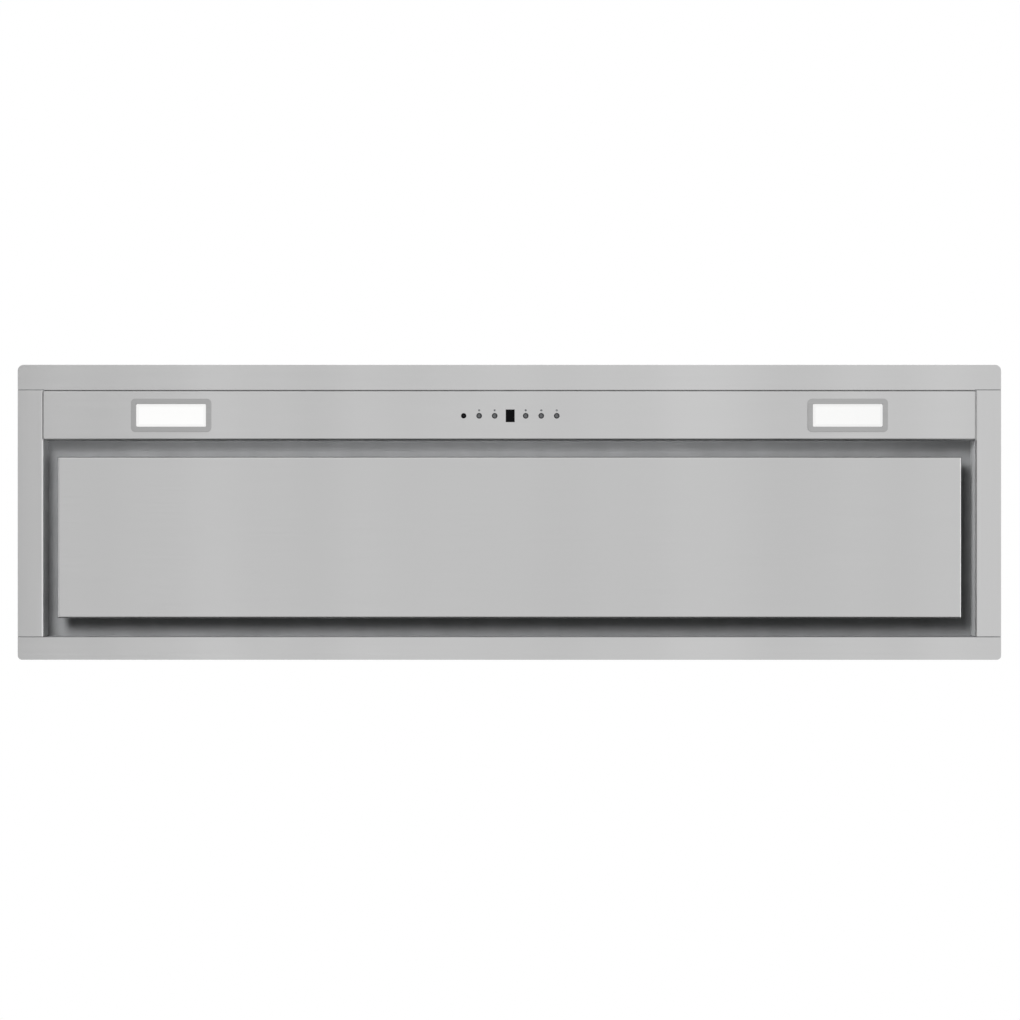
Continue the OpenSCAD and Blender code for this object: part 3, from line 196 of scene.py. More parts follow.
def spread_roughness(tree, shader, source, output, low, high):
    """Varies the shader's roughness between two values by a pattern."""
    spread = add(tree, "ShaderNodeMapRange",
                 {"From Min": 0.3, "From Max": 0.7, "To Min": low, "To Max": high},
                 {"Value": (source, output)})
    tree.links.new(spread.outputs["Result"], shader.inputs["Roughness"])


def bump(tree, shader, source, output, depth, strength):
    """Raises a pattern by a depth in metres."""
    raised = add(tree, "ShaderNodeBump", {"Strength": strength, "Distance": depth},
                 {"Height": (source, output)})
    tree.links.new(raised.outputs["Normal"], shader.inputs["Normal"])


def mottled(name, colour, sockets, scale, low, high, detail=2.0, roughness=0.5, raised=None,
            sheen=None):
    """A finish that drifts between two colours by noise, which may raise it and vary its sheen."""
    made, tree, shader, place = material(name, colour, sockets)
    pattern = noise(tree, place, scale, detail, roughness)
    spread_colour(tree, shader, pattern, "Fac", low, high)
    if raised:
        bump(tree, shader, pattern, "Fac", *raised)
    if sheen:
        spread_roughness(tree, shader, pattern, "Fac", *sheen)
    return made


def brushed_steel(name, along, low, high, rough):
    """Stainless 430 sheet, linished: fine straight lines along its length and soft bands across."""
    made, tree, shader, place = material(name, high, metal(rough))
    # Belt lines are about 0.15 mm apart; at 0.5 mm they just show in a close view
    fine, long = 1 / (0.5 * MM), 1 / (90 * MM)
    lines = noise(tree, place, (long, fine, fine) if along == "X" else (fine, long, fine), 3.0, 0.6)
    # Bands of the rolled coil, about 110 mm wide
    bands = noise(tree, place, (9.0, 0.6, 0.6), 1.0, 0.4)
    spread_colour(tree, shader, bands, "Fac", low, high)
    spread_roughness(tree, shader, lines, "Fac", rough - 0.03, rough + 0.03)
    bump(tree, shader, lines, "Fac", *BRUSHED)
    return made


def galvanised():
    """Hot-dip galvanised sheet: leafy spangle of crystals about 9 mm wide."""
    made, tree, shader, place = material("hot_dip_galvanised_sheet", "#a4a8ab",
                                         {"Metallic": 0.9, "Roughness": 0.42})
    spangle = add(tree, "ShaderNodeTexVoronoi", {"Scale": 1 / (9 * MM), "Randomness": 1.0},
                  {"Vector": (place, "Object")})
    grey = add(tree, "ShaderNodeRGBToBW", links={"Color": (spangle, "Color")})
    spread_colour(tree, shader, grey, "Val", "#999da0", "#acb0b3", 0.1, 0.9)
    spread_roughness(tree, shader, grey, "Val", 0.4, 0.48)
    return made


def sprayed_enamel():
    """Sprayed grey enamel with faint orange peel of about 1 mm."""
    made, tree, shader, place = material("sprayed_grey_enamel", "#3f4244",
                                         {"Roughness": 0.38, "Coat Weight": 0.2})
    bump(tree, shader, noise(tree, place, 900, 1.0), "Fac", 0.03 * MM, 0.5)
    spread_colour(tree, shader, noise(tree, place, 30), "Fac", "#3b3e40", "#434648")
    return made


def circuit_board():
    """Glass-fibre board under green solder resist, with a weave of 0.5 mm."""
    made, tree, shader, place = material("glass_fibre_board", "#22502f",
                                         {"Roughness": 0.35, "Coat Weight": 0.3})
    weave = add(tree, "ShaderNodeTexChecker",
                {"Scale": 1 / (0.5 * MM), "Color1": linear("#204c2d"), "Color2": linear("#255634")},
                {"Vector": (place, "Object")})
    tree.links.new(weave.outputs["Color"], shader.inputs["Base Color"])
    return made


def make_materials(tones):
    """Makes every finish of the hood once, marked with the short key that finds it again."""
    finishes = {
        # Stainless 430 frame sheet: a soft, nearly even grey with a satin sheen
        "frame_x": brushed_steel("stainless_430_linished_lengthways", "X", tones.frame_dark,
                                 tones.frame_light, 0.31),
        "frame_y": brushed_steel("stainless_430_linished_side_rails", "Y", "#c9c9c9",
                                 tones.frame_light, 0.31),
        # Suction panel: the same sheet, one large even field
        "panel": brushed_steel("stainless_430_linished_panel", "X", tones.panel_dark,
                               tones.panel_light, 0.24),
        # Recess: mill-finish stainless, coloured far darker than the frame sheet as painted shade of
        # the recess, and kept nearly matt so that the slots stay dark and even
        "recess": mottled(
            "stainless_430_mill_finish", "#838485",
            {"Metallic": 0.08, "Roughness": 1.0, "Specular IOR Level": 0.05}, 40, "#7f8081", "#878889",
            detail=3.0),
        # Walls of the recess: the face sheet folded in, coloured darker than the face as painted shade
        # of the recess, paler than the tray and nearly matt too
        "wall": mottled(
            "stainless_430_folded_wall", "#acadae",
            {"Metallic": 0.1, "Roughness": 0.9, "Specular IOR Level": 0.05}, 40, "#a8a9aa", "#b0b1b2",
            detail=3.0),
        # Bezel: finer grit, a little darker than the fascia, with crisp edges
        "bezel": mottled(
            "stainless_304_satin_bezel", "#b2b2b2", metal(0.3), (12, 1800, 1800), "#adadad", "#b6b6b6",
            3.0, 0.6, raised=BRUSHED),
        # Galvanised sheet of the chassis: dull silver with a leafy spangle
        "zinc": galvanised(),
        # Bright zinc-plated steel of screws and pins: smooth with a cool cast
        "plated": mottled("zinc_plated_steel", "#b6babd", metal(0.26), 300, "#adb1b5", "#bdc0c2"),
        # Motor enamel: dark grey, glossy, not quite smooth
        "enamel": sprayed_enamel(),
        # Black ABS, moulded in a lightly sparked tool: a fine 0.4 mm grain, satin
        "black": mottled(
            "black_abs_spark_texture", "#17181a", {"Roughness": 0.5}, 2500, "#141517", "#1b1c1e",
            raised=(0.02 * MM, 0.6)),
        # White ABS: a slightly coarser grain, satin
        "white": mottled(
            "white_abs_moulded", "#d2d2cd", {"Roughness": 0.5}, 1800, "#cdcdc8", "#d5d5d0",
            raised=(0.02 * MM, 0.5)),
        # Rolled aluminium sheet: pale, with faint rolling lines along Y
        "aluminium": mottled(
            "rolled_aluminium_sheet", "#b9bcbf", metal(0.4), (900, 15, 900), "#b2b5b8", "#bfc2c5", 3.0,
            sheen=(0.35, 0.47)),
        # Expanded aluminium mesh: cut strands that catch the light unevenly
        "mesh": mottled("expanded_aluminium_mesh", "#b0b3b5", metal(0.34), 160, "#a3a6a8", "#babdbf"),
        # Rim of a push-button: black nickel plate, a dark mirror softened by wear
        "button": mottled("black_nickel_plate", "#3e3f41", metal(0.3), 1500, "#3a3b3d", "#424345"),
        # Dish of a push-button: the plating is turned through to the paler steel
        "button_dish": mottled("turned_steel_dish", "#6c6d6f", metal(0.34), 1500, "#68696b", "#707173"),
        # Margin of the lens: the same opal sheet where its frame shades the light engine
        "opal_margin": material("opal_polycarbonate_margin", "#4a4a48", glowing(0.3, 0.74))[0],
        # Lens: opal polycarbonate lit from behind, brightest over the light engine
        "opal": mottled(
            "opal_polycarbonate", "#4a4a48", glowing(0.35, 0.79), 2000, "#484846", "#4c4c4a"),
        # Smoked acrylic window: near black, with an anti-glare coat that holds reflections down
        "smoked": mottled(
            "smoked_acrylic", "#050506", {"Roughness": 0.12, "Specular IOR Level": 0.04}, 60, "#040405",
            "#060607"),
        # Infra-red window of the remote sensor: a dark dome, nearly as black as the ring round it
        "sensor": mottled(
            "infrared_filter_acrylic", "#0c0c0e", {"Roughness": 0.2, "Specular IOR Level": 0.12}, 900,
            "#0a0a0c", "#0e0e10"),
        # Clear acrylic light pipe with a satin end, not lit
        "pipe": mottled(
            "satin_acrylic_rod", "#525456", {"Roughness": 0.4, "IOR": 1.49}, 1500, "#4e5052",
            "#565859"),
        # Circuit board: dark green with a fine weave
        "board": circuit_board(),
        # PVC wire sheath: black, softly glossy
        "sheath": mottled("pvc_sheath", "#1c1d1f", {"Roughness": 0.4}, 200, "#191a1c", "#1f2022"),
        # Sealant in the frame's seams: a dull grey that closes them against grease
        "sealant": mottled(
            "grey_silicone_sealant", "#67686a", {"Roughness": 0.8, "Specular IOR Level": 0.1}, 400,
            "#636466", "#6b6c6e"),
    }
    for key, made in finishes.items():
        made["hood_finish"] = key


def finish_of(key):
    """The material made for a finish, by its short key."""
    return next(made for made in bpy.data.materials if made.get("hood_finish") == key)


# Modelling helpers

def mode(name):
    """Opens the active piece for editing or closes it."""
    bpy.ops.object.mode_set(mode=name)


def deselect():
    """Leaves edit mode and selects nothing."""
    if bpy.context.object and bpy.context.object.mode != "OBJECT":
        mode("OBJECT")
    bpy.ops.object.select_all(action="DESELECT")


def take(piece):
    """Makes a piece the only selected object and the active one."""
    deselect()
    piece.select_set(True)
    bpy.context.view_layer.objects.active = piece


def edit(piece):
    """Opens a piece for editing with everything selected."""
    take(piece)
    mode("EDIT")
    bpy.ops.mesh.select_all(action="SELECT")


def apply_transform():
    """Writes the selected piece's place, turn and size into its mesh."""
    bpy.ops.object.transform_apply(location=True, rotation=True, scale=True)


def apply_modifier(piece, kind, **settings):
    """Adds one modifier to a piece and applies it."""
    take(piece)
    modifier = piece.modifiers.new(kind.lower(), kind)
    for key, value in settings.items():
        setattr(modifier, key, value)
    bpy.ops.object.modifier_apply(modifier=modifier.name)


def boolean(piece, other, operation):
    """Joins another piece to this one or cuts it away, and takes the other out of the scene."""
    apply_modifier(piece, "BOOLEAN", operation=operation, object=other, solver="EXACT")
    bpy.data.objects.remove(other)


def repeat(piece, count, step):
    """Repeats a piece by a step in metres."""
    apply_modifier(piece, "ARRAY", count=count, use_relative_offset=False, use_constant_offset=True,
                   constant_offset_displace=step)


def smooth(piece, angle=32):
    """Shades a piece smooth, with creases at its sharp edges and its large faces shaded flat."""
    take(piece)
    bpy.ops.object.shade_smooth_by_angle(angle=math.radians(angle))
    apply_modifier(piece, "WEIGHTED_NORMAL", mode="FACE_AREA", weight=100, keep_sharp=True)


def soften(piece, width, segments=2, angle=35):
    """Rounds the edges of a piece that are sharper than an angle, by a width in millimetres."""
    apply_modifier(piece, "BEVEL", width=width * MM, segments=segments, limit_method="ANGLE",
                   angle_limit=math.radians(angle), use_clamp_overlap=True, harden_normals=False)
    smooth(piece)


def paint(piece, *keys):
    """Gives a piece its finishes; all its faces are in the first one."""
    piece.data.materials.clear()
    for key in keys:
        piece.data.materials.append(finish_of(key))


def paint_second(piece, test):
    """Puts the faces that pass a test in the second finish."""
    for face in piece.data.polygons:
        if test(face):
            face.material_index = 1


def dress(piece, body, key, nodes):
    """Places a finished piece on its body and finish, in the stead of CAD nodes."""
    take(piece)
    apply_transform()
    if not piece.data.materials:
        paint(piece, key)
    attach(piece, body)
    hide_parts(*nodes)
    deselect()


def stand_in(piece, node, key):
    """Stands a piece in the place of one CAD node."""
    dress(piece, NODES[node]["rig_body"], key, [node])


def copy_of(node, name):
    """A merged copy of a CAD node's mesh, with its flat triangles joined into whole faces."""
    deselect()
    piece = bpy.data.objects.new(name, NODES[node].data.copy())
    bpy.context.scene.collection.objects.link(piece)
    piece.data.materials.clear()
    edit(piece)
    bpy.ops.mesh.customdata_custom_splitnormals_clear()
    bpy.ops.mesh.remove_doubles(threshold=MERGE)
    bpy.ops.mesh.dissolve_limited(angle_limit=FLAT)
    deselect()
    return piece


def dress_copy(node, key, width, segments=2):
    """Stands a rounded copy of a CAD node in its place."""
    piece = copy_of(node, node + "_dressed")
    soften(piece, width, segments)
    stand_in(piece, node, key)


def dress_copies(*rows):
    """Stands in rounded copies, by rows of node, finish, rounding and its segments."""
    for row in rows:
        dress_copy(*row)


def join(pieces):
    """Joins several pieces into the first."""
    deselect()
    for piece in pieces:
        piece.select_set(True)
    bpy.context.view_layer.objects.active = pieces[0]
    bpy.ops.object.join()
    joined = bpy.context.object
    deselect()
    return joined


def block(place, size, turn=0.0):
    """A block of a size at a place, in metres, turned about Z."""
    deselect()
    bpy.ops.mesh.primitive_cube_add(size=1, location=place, rotation=(0, 0, turn))
    made = bpy.context.object
    made.scale = size
    apply_transform()
    return made


def twin_of(piece, turn, place):
    """A copy of a piece, turned about the origin and moved to a place."""
    take(piece)
    bpy.ops.object.duplicate()
    twin = bpy.context.object
    twin.rotation_euler = turn
    twin.location = place
    apply_transform()
    return twin


def turned(name, profile, steps=48, closed=False, axis="Z", place=(0, 0, 0)):
    """A turned piece: a circle drawn out and scaled along a profile of (radius, height) in mm."""
    deselect()
    radius, height = profile[0]
    bpy.ops.mesh.primitive_circle_add(vertices=steps, radius=radius * MM, location=(0, 0, 0),
                                      fill_type="NOTHING" if closed else "NGON", enter_editmode=True)
    bpy.ops.transform.translate(value=(0, 0, height * MM))
    for r, h in profile[1:] + ([profile[0]] if closed else []):
        if closed:
            bpy.ops.mesh.extrude_edges_move()
        else:
            bpy.ops.mesh.extrude_region_move()
        bpy.ops.transform.translate(value=(0, 0, (h - height) * MM))
        if r != radius:
            k = r / radius
            bpy.ops.transform.resize(value=(k, k, 1), center_override=(0, 0, h * MM))
        radius, height = r, h
    bpy.ops.mesh.select_all(action="SELECT")
    bpy.ops.mesh.remove_doubles(threshold=MERGE)
    bpy.ops.mesh.normals_make_consistent(inside=False)
    mode("OBJECT")
    piece = bpy.context.object
    piece.name = name
    piece.rotation_euler = TURNS[axis]
    piece.location = place
    apply_transform()
    smooth(piece)
    return piece


def pick(piece, test):
    """Opens a piece for editing with the faces selected that pass a test."""
    take(piece)
    mode("EDIT")
    bpy.ops.mesh.select_mode(type="FACE")
    bpy.ops.mesh.select_all(action="DESELECT")
    mode("OBJECT")
    for face in piece.data.polygons:
        face.select = test(face)
    mode("EDIT")


def cut(planes, **settings):
    """Cuts the mesh that is open for editing along planes, each given by a point and its normal."""
    for point, normal in planes:
        bpy.ops.mesh.select_all(action="SELECT")
        bpy.ops.mesh.bisect(plane_co=point, plane_no=normal, **settings)


def swage(piece, axis, sign, margin, height=1.6):
    """Presses a raised field into the outermost large wall along an axis, in millimetres."""
    flush = 0.05 * MM
    walls = [sign * face.center[axis] for face in piece.data.polygons
             if sign * face.normal[axis] > SQUARE and face.area > LARGE_WALL]
    pick(piece, lambda face: sign * face.normal[axis] > SQUARE and face.area > LARGE_WALL
         and sign * face.center[axis] > max(walls) - flush)
    bpy.ops.mesh.inset(thickness=margin * MM, depth=0)
    bpy.ops.mesh.inset(thickness=height * MM, depth=height * MM)
    deselect()


def dress_wrap(node, margin, width):
    """Stands a copy of a folded wrap in its place, with a swage in its front and one in its rear."""
    wrap = copy_of(node, node + "_dressed")
    for sign in (-1, 1):
        swage(wrap, 1, sign, margin)
    soften(wrap, width)
    stand_in(wrap, node, "zinc")


# Settings

class ToneSettings(PropertyGroup):
    """The two tones between which each linished sheet drifts."""
    frame_dark: FloatVectorProperty(
        name="Frame, dark", description="Darker tone of the front and rear rail and the fascia",
        default=linear("#c7c7c7"), **COLOUR)
    frame_light: FloatVectorProperty(
        name="Frame, light", description="Lighter tone of all four rails and the fascia",
        default=linear("#d1d1d1"), **COLOUR)
    panel_dark: FloatVectorProperty(
        name="Panel, dark", description="Darker tone of the suction panel",
        default=linear("#c2c2c2"), **COLOUR)
    panel_light: FloatVectorProperty(
        name="Panel, light", description="Lighter tone of the suction panel",
        default=linear("#c8c8c8"), **COLOUR)


class StageSettings(PropertyGroup):
    """The studio."""
    floor_colour: FloatVectorProperty(
        name="Floor", description="Colour of the floor, as matt surfaces see it",
        default=linear("#cfcfcd"), **COLOUR)
    camera_drop: FloatProperty(
        name="Camera drop", description="Distance of the camera below the frame's face",
        default=2.4, min=1.0, max=6.0, unit="LENGTH")
    face_width: FloatProperty(
        name="View width", description="Width that the picture covers at the frame's face",
        default=0.93293, min=0.5, max=3.0, unit="LENGTH")
    floor_drop: FloatProperty(
        name="Floor drop", description="Distance of the floor below the hood",
        default=2.9, min=2.5, max=8.0, unit="LENGTH")
    key_power: FloatProperty(
        name="Key lamp", description="Power of the soft lamp at the front left",
        default=78.0, min=0.0, unit="POWER")
    strip_power: FloatProperty(
        name="Strip lamp", description="Power of the narrow lamp close below the front slot",
        default=0.75, min=0.0, unit="POWER")
    rim_power: FloatProperty(
        name="Rim lamps", description="Power of the lamps that only glint on folds",
        default=7.0, min=0.0, unit="POWER")
    top_power: FloatProperty(
        name="Top lamp", description="Power of the lamp above, twice that of the back lamp",
        default=80.0, min=0.0, unit="POWER")
    ambient: FloatProperty(
        name="Ambient", description="Strength of the white surroundings on matt surfaces",
        default=0.018, min=0.0, max=1.0, subtype="FACTOR")


class EdgeSettings(PropertyGroup):
    """Edge roundings and small repeated forms."""
    sheet_edge: FloatProperty(
        name="Sheet edge", description="Rounding of deburred sheet edges in millimetres",
        default=0.14, min=0.05, max=0.5)
    fold_edge: FloatProperty(
        name="Panel fold", description="Rounding of the folds round the panel in millimetres",
        default=0.32, min=0.1, max=0.4)
    moulded_edge: FloatProperty(
        name="Moulded edge", description="Rounding of the blower's moulded edges in millimetres",
        default=0.35, min=0.05, max=0.8)
    mesh_cell: FloatVectorProperty(
        name="Mesh cell", description="Length and width of an expanded mesh cell in millimetres",
        size=2, default=(8.0, 4.0))
    head_turns: IntProperty(
        name="Head facets", description="Facets round a screw head", default=32, min=12, max=64)


# Operators

class HOOD_OT_finishes(Operator):
    """Makes the finishes of all the hood's materials"""
    bl_idname = "hood.finishes"
    bl_label = "Finishes"

    def execute(self, context):
        make_materials(context.scene.hood_tones)
        return {"FINISHED"}


class HOOD_OT_stage(Operator):
    """Sets the pale floor, the white surroundings, the soft lamps and the camera below the hood"""
    bl_idname = "hood.stage"
    bl_label = "Stage"

    def execute(self, context):
        settings = context.scene.hood_stage
        self.camera(context, settings)
        key = self.lamp(context, *KEY_LAMP, settings.key_power)
        strip = self.lamp(context, *STRIP_LAMP, settings.strip_power)
        strip.rotation_euler = (math.pi, 0, 0)
        key.visible_glossy = strip.visible_glossy = False
        for rim_lamp, share in RIM_LAMPS:
            self.lamp(context, *rim_lamp, settings.rim_power * share).visible_diffuse = False
        self.lamp(context, *TOP_LAMP, settings.top_power)
        self.lamp(context, *BACK_LAMP, settings.top_power / 2)
        for card in CARDS:
            self.flag(context, *card)
        self.floor(context, settings)
        self.surroundings(context, settings)
        context.scene.view_settings.view_transform = "Standard"
        return {"FINISHED"}

    def camera(self, context, settings):
        """A camera straight below the hood that looks up at it."""
        deselect()
        bpy.ops.object.camera_add(location=(CAMERA_X, CAMERA_Y, -settings.camera_drop),
                                  rotation=(math.pi, 0, 0))
        camera = context.object
        camera.name = "camera"
        camera.data.sensor_width = SENSOR_MM
        camera.data.lens = SENSOR_MM * settings.camera_drop / settings.face_width
        camera.data.clip_end = CAMERA_REACH
        context.scene.camera = camera

    def lamp(self, context, name, place, size, power):
        """A soft rectangular lamp that faces the hood."""
        aim = (Vector((0, 0, 0)) - Vector(place)).to_track_quat("-Z", "Y").to_euler()
        bpy.ops.object.light_add(type="AREA", location=place, rotation=aim)
        lamp = context.object
        lamp.name = name
        lamp.data.shape = "RECTANGLE"
        lamp.data.size, lamp.data.size_y = size
        lamp.data.energy = power
        lamp.visible_camera = False
        return lamp

    def flag(self, context, name, place, size, turn):
        """A grey studio card that only shows in reflections and gives folds a darker side."""
        deselect()
        bpy.ops.mesh.primitive_plane_add(size=size, location=place, rotation=turn)
        flag = context.object
        flag.name = name
        flag.data.materials.append(material("studio_flag_card", "#343434", {"Roughness": 0.9})[0])
        for ray in ("camera", "diffuse", "shadow", "transmission", "volume_scatter"):
            setattr(flag, "visible_" + ray, False)

    def floor(self, context, settings):
        """A large pale floor, white to the eye and in reflections."""
        deselect()
        bpy.ops.mesh.primitive_plane_add(size=FLOOR_SIZE, location=(0, 0, -settings.floor_drop))
        floor = context.object
        floor.name = "studio_floor"
        made, tree, shader, _ = material("studio_floor_paper", settings.floor_colour,
                                         {"Roughness": 0.8})
        glow = add(tree, "ShaderNodeEmission", {"Strength": 1.0})
        self.mix(tree, shader, glow, "Material Output")
        floor.data.materials.append(made)

    def mix(self, tree, light, sight, output):
        """Shows one shader to the camera and in reflections, and another to matt surfaces."""
        path = add(tree, "ShaderNodeLightPath")
        mirrored = add(tree, "ShaderNodeMath", {"operation": "MAXIMUM"},
                       {0: (path, "Is Camera Ray"), 1: (path, "Is Glossy Ray")})
        seen = add(tree, "ShaderNodeMath", {"operation": "MAXIMUM"},
                   {0: (mirrored, 0), 1: (path, "Is Transmission Ray")})
        mixed = add(tree, "ShaderNodeMixShader", links={0: (seen, 0), 1: (light, 0), 2: (sight, 0)})
        tree.links.new(mixed.outputs[0], tree.nodes[output].inputs["Surface"])

    def surroundings(self, context, settings):
        """A white world to the eye and in reflections, and a soft grey one on matt surfaces."""
        world = bpy.data.worlds.new("white_studio")
        world.use_nodes = True
        tree = world.node_tree
        soft = tree.nodes["Background"]
        soft.inputs["Color"].default_value = linear("#ffffff")
        soft.inputs["Strength"].default_value = settings.ambient
        white = add(tree, "ShaderNodeBackground", {"Strength": 1.0, "Color": linear("#ffffff")})
        self.mix(tree, soft, white, "World Output")
        context.scene.world = world


class HOOD_OT_frame_rails(Operator):
    """Makes the four rails of the visible frame from linished sheet with deburred edges"""
    bl_idname = "hood.frame_rails"
    bl_label = "Frame rails"

    def execute(self, context):
        edge = context.scene.hood_edges.sheet_edge
        for node in ("front_rail", "rear_rail"):
            dress_copy(node, "frame_x", edge)
        # Half the width within which a face belongs to the recess
        recess_reach = 429 * MM
        # The seams to front and rear rail, with the way from each towards the middle
        seams = ((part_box("front_rail")[1].y, 1), (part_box("rear_rail")[0].y, -1))
        for node, side in (("left_rail", -1), ("right_rail", 1)):
            rail = copy_of(node, node + "_dressed")
            soften(rail, edge)
            paint(rail, "frame_y", "wall")
            # Faces inside the recess take the wall finish, whose darker colour is painted shade
            paint_second(rail, lambda face: face.center.z > FOLD_END
                         and abs(face.center.x) < recess_reach)
            tabs = [self.tab(side, seam) for seam, inward in seams]
            beads = [self.bead(side, seam, inward) for seam, inward in seams]
            stand_in(join([rail] + tabs + beads), node, "frame_y")
        return {"FINISHED"}

    def bead(self, side, seam, inward):
        """The grey sealant bead in the seam to a neighbouring rail."""
        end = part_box("front_rail")[1].x
        inner, outer = end - 22.4 * MM, end - 0.3 * MM
        width, depth, middle = 0.62 * MM, 0.9 * MM, 2.0 * MM
        bead = block((side * (inner + outer) / 2, seam + inward * 0.3 * MM, middle),
                     (outer - inner, width, depth))
        soften(bead, 0.2)
        paint(bead, "sealant")
        return bead

    def tab(self, side, seam):
        """The spot-welded tab behind the seam to a neighbouring rail, with its two weld dimples."""
        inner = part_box("chassis_end_right")[1].x + 0.5 * MM
        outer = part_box("right_rail")[1].x - 1.6 * MM
        x, width, thick, middle = side * (inner + outer) / 2, 14 * MM, 1.0 * MM, 2.95 * MM
        tab = block((x, seam, middle), (outer - inner, width, thick))
        for y in (-4, 4):
            place = (x, seam + y * MM, middle + 0.4 * MM)
            boolean(tab, turned("weld_dimple", WELD_DIMPLE, 20, place=place), "UNION")
        soften(tab, 0.2)
        paint(tab, "frame_y")
        return tab


class HOOD_OT_fascia(Operator):
    """Makes the control fascia with crisp lamp, display and button openings"""
    bl_idname = "hood.fascia"
    bl_label = "Control fascia"

    def execute(self, context):
        fascia = copy_of("control_fascia", "control_fascia_dressed")
        soften(fascia, 0.15)
        paint(fascia, "frame_x", "wall")
        # The fascia's rear fold lies behind this line
        fold_y = -70 * MM
        # The rear fold inside the recess takes the wall finish, whose darker colour is painted shade
        paint_second(fascia, lambda face: face.center.z > FOLD_END and face.center.y > fold_y)
        # How far behind the face the tongues lie, in millimetres
        front_depth, side_depth = 1.26, 0.3
        low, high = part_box("control_fascia")
        front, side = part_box("front_rail")[1].y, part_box("right_rail")[0].x
        seams = [(0, (front + low.y) / 2, high.x - low.x, low.y - front, front_depth)]
        seams += [(sign * (high.x + side) / 2, (low.y + high.y) / 2, side - high.x, high.y - low.y,
                   side_depth) for sign in (-1, 1)]
        stand_in(join([fascia] + [self.tongue(*seam) for seam in seams]), "control_fascia", "frame_x")
        return {"FINISHED"}

    def tongue(self, x, y, length, width, depth):
        """The tongue of the fascia that closes the seam to a neighbouring rail behind the face."""
        play, thick = 0.04 * MM, 0.9
        tongue = block((x, y, (depth + thick / 2) * MM), (length - play, width - play, thick * MM))
        soften(tongue, 0.05)
        paint(tongue, "frame_x")
        return tongue


class HOOD_OT_suction_panel(Operator):
    """Makes the suction panel with its folded edges, stiffeners, strikes and hinge arms"""
    bl_idname = "hood.suction_panel"
    bl_label = "Suction panel"

    def execute(self, context):
        edges = context.scene.hood_edges
        dress_copy("panel_skin", "panel", edges.fold_edge, 3)
        for node in ("panel_stiffeners", "catch_strikes", "hinge_arms"):
            dress_copy(node, "zinc", edges.sheet_edge)
        return {"FINISHED"}


class HOOD_OT_intake_tray(Operator):
    """Makes the tray of the recess with the hinge brackets, pins and magnets that it carries"""
    bl_idname = "hood.intake_tray"
    bl_label = "Intake tray"

    def execute(self, context):
        edge = context.scene.hood_edges.sheet_edge
        # The tray takes the recess finish, whose dark colour is painted shade of the recess
        dress_copies(("intake_tray", "recess", edge), ("hinge_brackets", "zinc", edge),
                     ("hinge_pins", "plated", edge), ("catch_magnets", "black", 0.6))
        return {"FINISHED"}


class HOOD_OT_lamps(Operator):
    """Makes the two lamps: steel bezels, opal lenses and cooled light engines"""
    bl_idname = "hood.lamps"
    bl_label = "Lamps"

    def execute(self, context):
        for side in SIDES:
            dress_copy("lamp_bezel_" + side, "bezel", 0.7, 4)
            self.lens("lamp_lens_" + side)
        dress_copy("lamp_bodies", "aluminium", 0.2)
        return {"FINISHED"}

    def lens(self, node):
        """An opal lens with a less brightly lit margin round a shallow inset field."""
        margin, slope, inset = 1.8 * MM, 0.5 * MM, 0.25 * MM
        lens = copy_of(node, node + "_dressed")
        soften(lens, 0.3)
        paint(lens, "opal_margin", "opal")
        low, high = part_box(node)
        left, right, front, rear = low.x + margin, high.x - margin, low.y + margin, high.y - margin
        edit(lens)
        cut([((x, 0, 0), (1, 0, 0)) for x in (left, right)]
            + [((0, y, 0), (0, 1, 0)) for y in (front, rear)])
        pick(lens, lambda face: face.normal.z < -SQUARE and left < face.center.x < right
             and front < face.center.y < rear)
        bpy.ops.mesh.dissolve_faces()
        bpy.ops.mesh.inset(thickness=slope, depth=-inset)
        lens.active_material_index = 1
        bpy.ops.object.material_slot_assign()
        deselect()
        smooth(lens)
        stand_in(lens, node, "opal_margin")


class HOOD_OT_push_buttons(Operator):
    """Turns the five push-buttons with a chamfered rim and a dished face"""
    bl_idname = "hood.push_buttons"
    bl_label = "Push-buttons"

    def execute(self, context):
        # Front and back of the flange, what it stands out by, and the radius of the stem, in mm
        flange, back, ledge, stem = 2.5, 3.5, 0.9, 1.5
        # Share of the cap's radius that is the paler dish
        dished = 0.6
        for name in ("light_button", "timer_button", "speed_down_button", "speed_up_button",
                     "power_button"):
            low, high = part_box(name)
            centre = (low + high) / 2
            rim, top = (high.x - low.x) / 2 / MM, (high.z - low.z) / MM
            r = rim - ledge
            dish = [(0.4, 0.28), (r * 0.45, 0.24), (r * 0.72, 0.1)]
            chamfer = [(r - 0.42, 0.0), (r - 0.3, 0.0), (r - 0.08, 0.12), (r, 0.32)]
            skirt = [(r, flange), (rim, flange), (rim, back), (stem, back)]
            profile = dish + chamfer + skirt + [(stem, top - 0.3), (1.2, top)]
            cap = turned(name + "_turned", profile, 40, place=(centre.x, centre.y, low.z))
            paint(cap, "button", "button_dish")
            paint_second(cap, lambda face: face.normal.z < -0.5 and
                         (face.center.xy - centre.xy).length < r * dished * MM)
            stand_in(cap, name, "button")
        return {"FINISHED"}


class HOOD_OT_display(Operator):
    """Makes the display window, the sensor and the indicator light pipes, with what holds them"""
    bl_idname = "hood.display"
    bl_label = "Display and sensor"

    def execute(self, context):
        dress_copies(("display_window", "smoked", 0.2, 3), ("sensor_ring", "smoked", 0.15, 3),
                     ("sensor_lens", "sensor", 0.3, 4), ("indicator_pipes", "pipe", 0.2, 3),
                     ("control_holder", "black", 0.2), ("display_module", "black", 0.2),
                     ("button_switches", "black", 0.2), ("control_board", "board", 0.2))
        return {"FINISHED"}


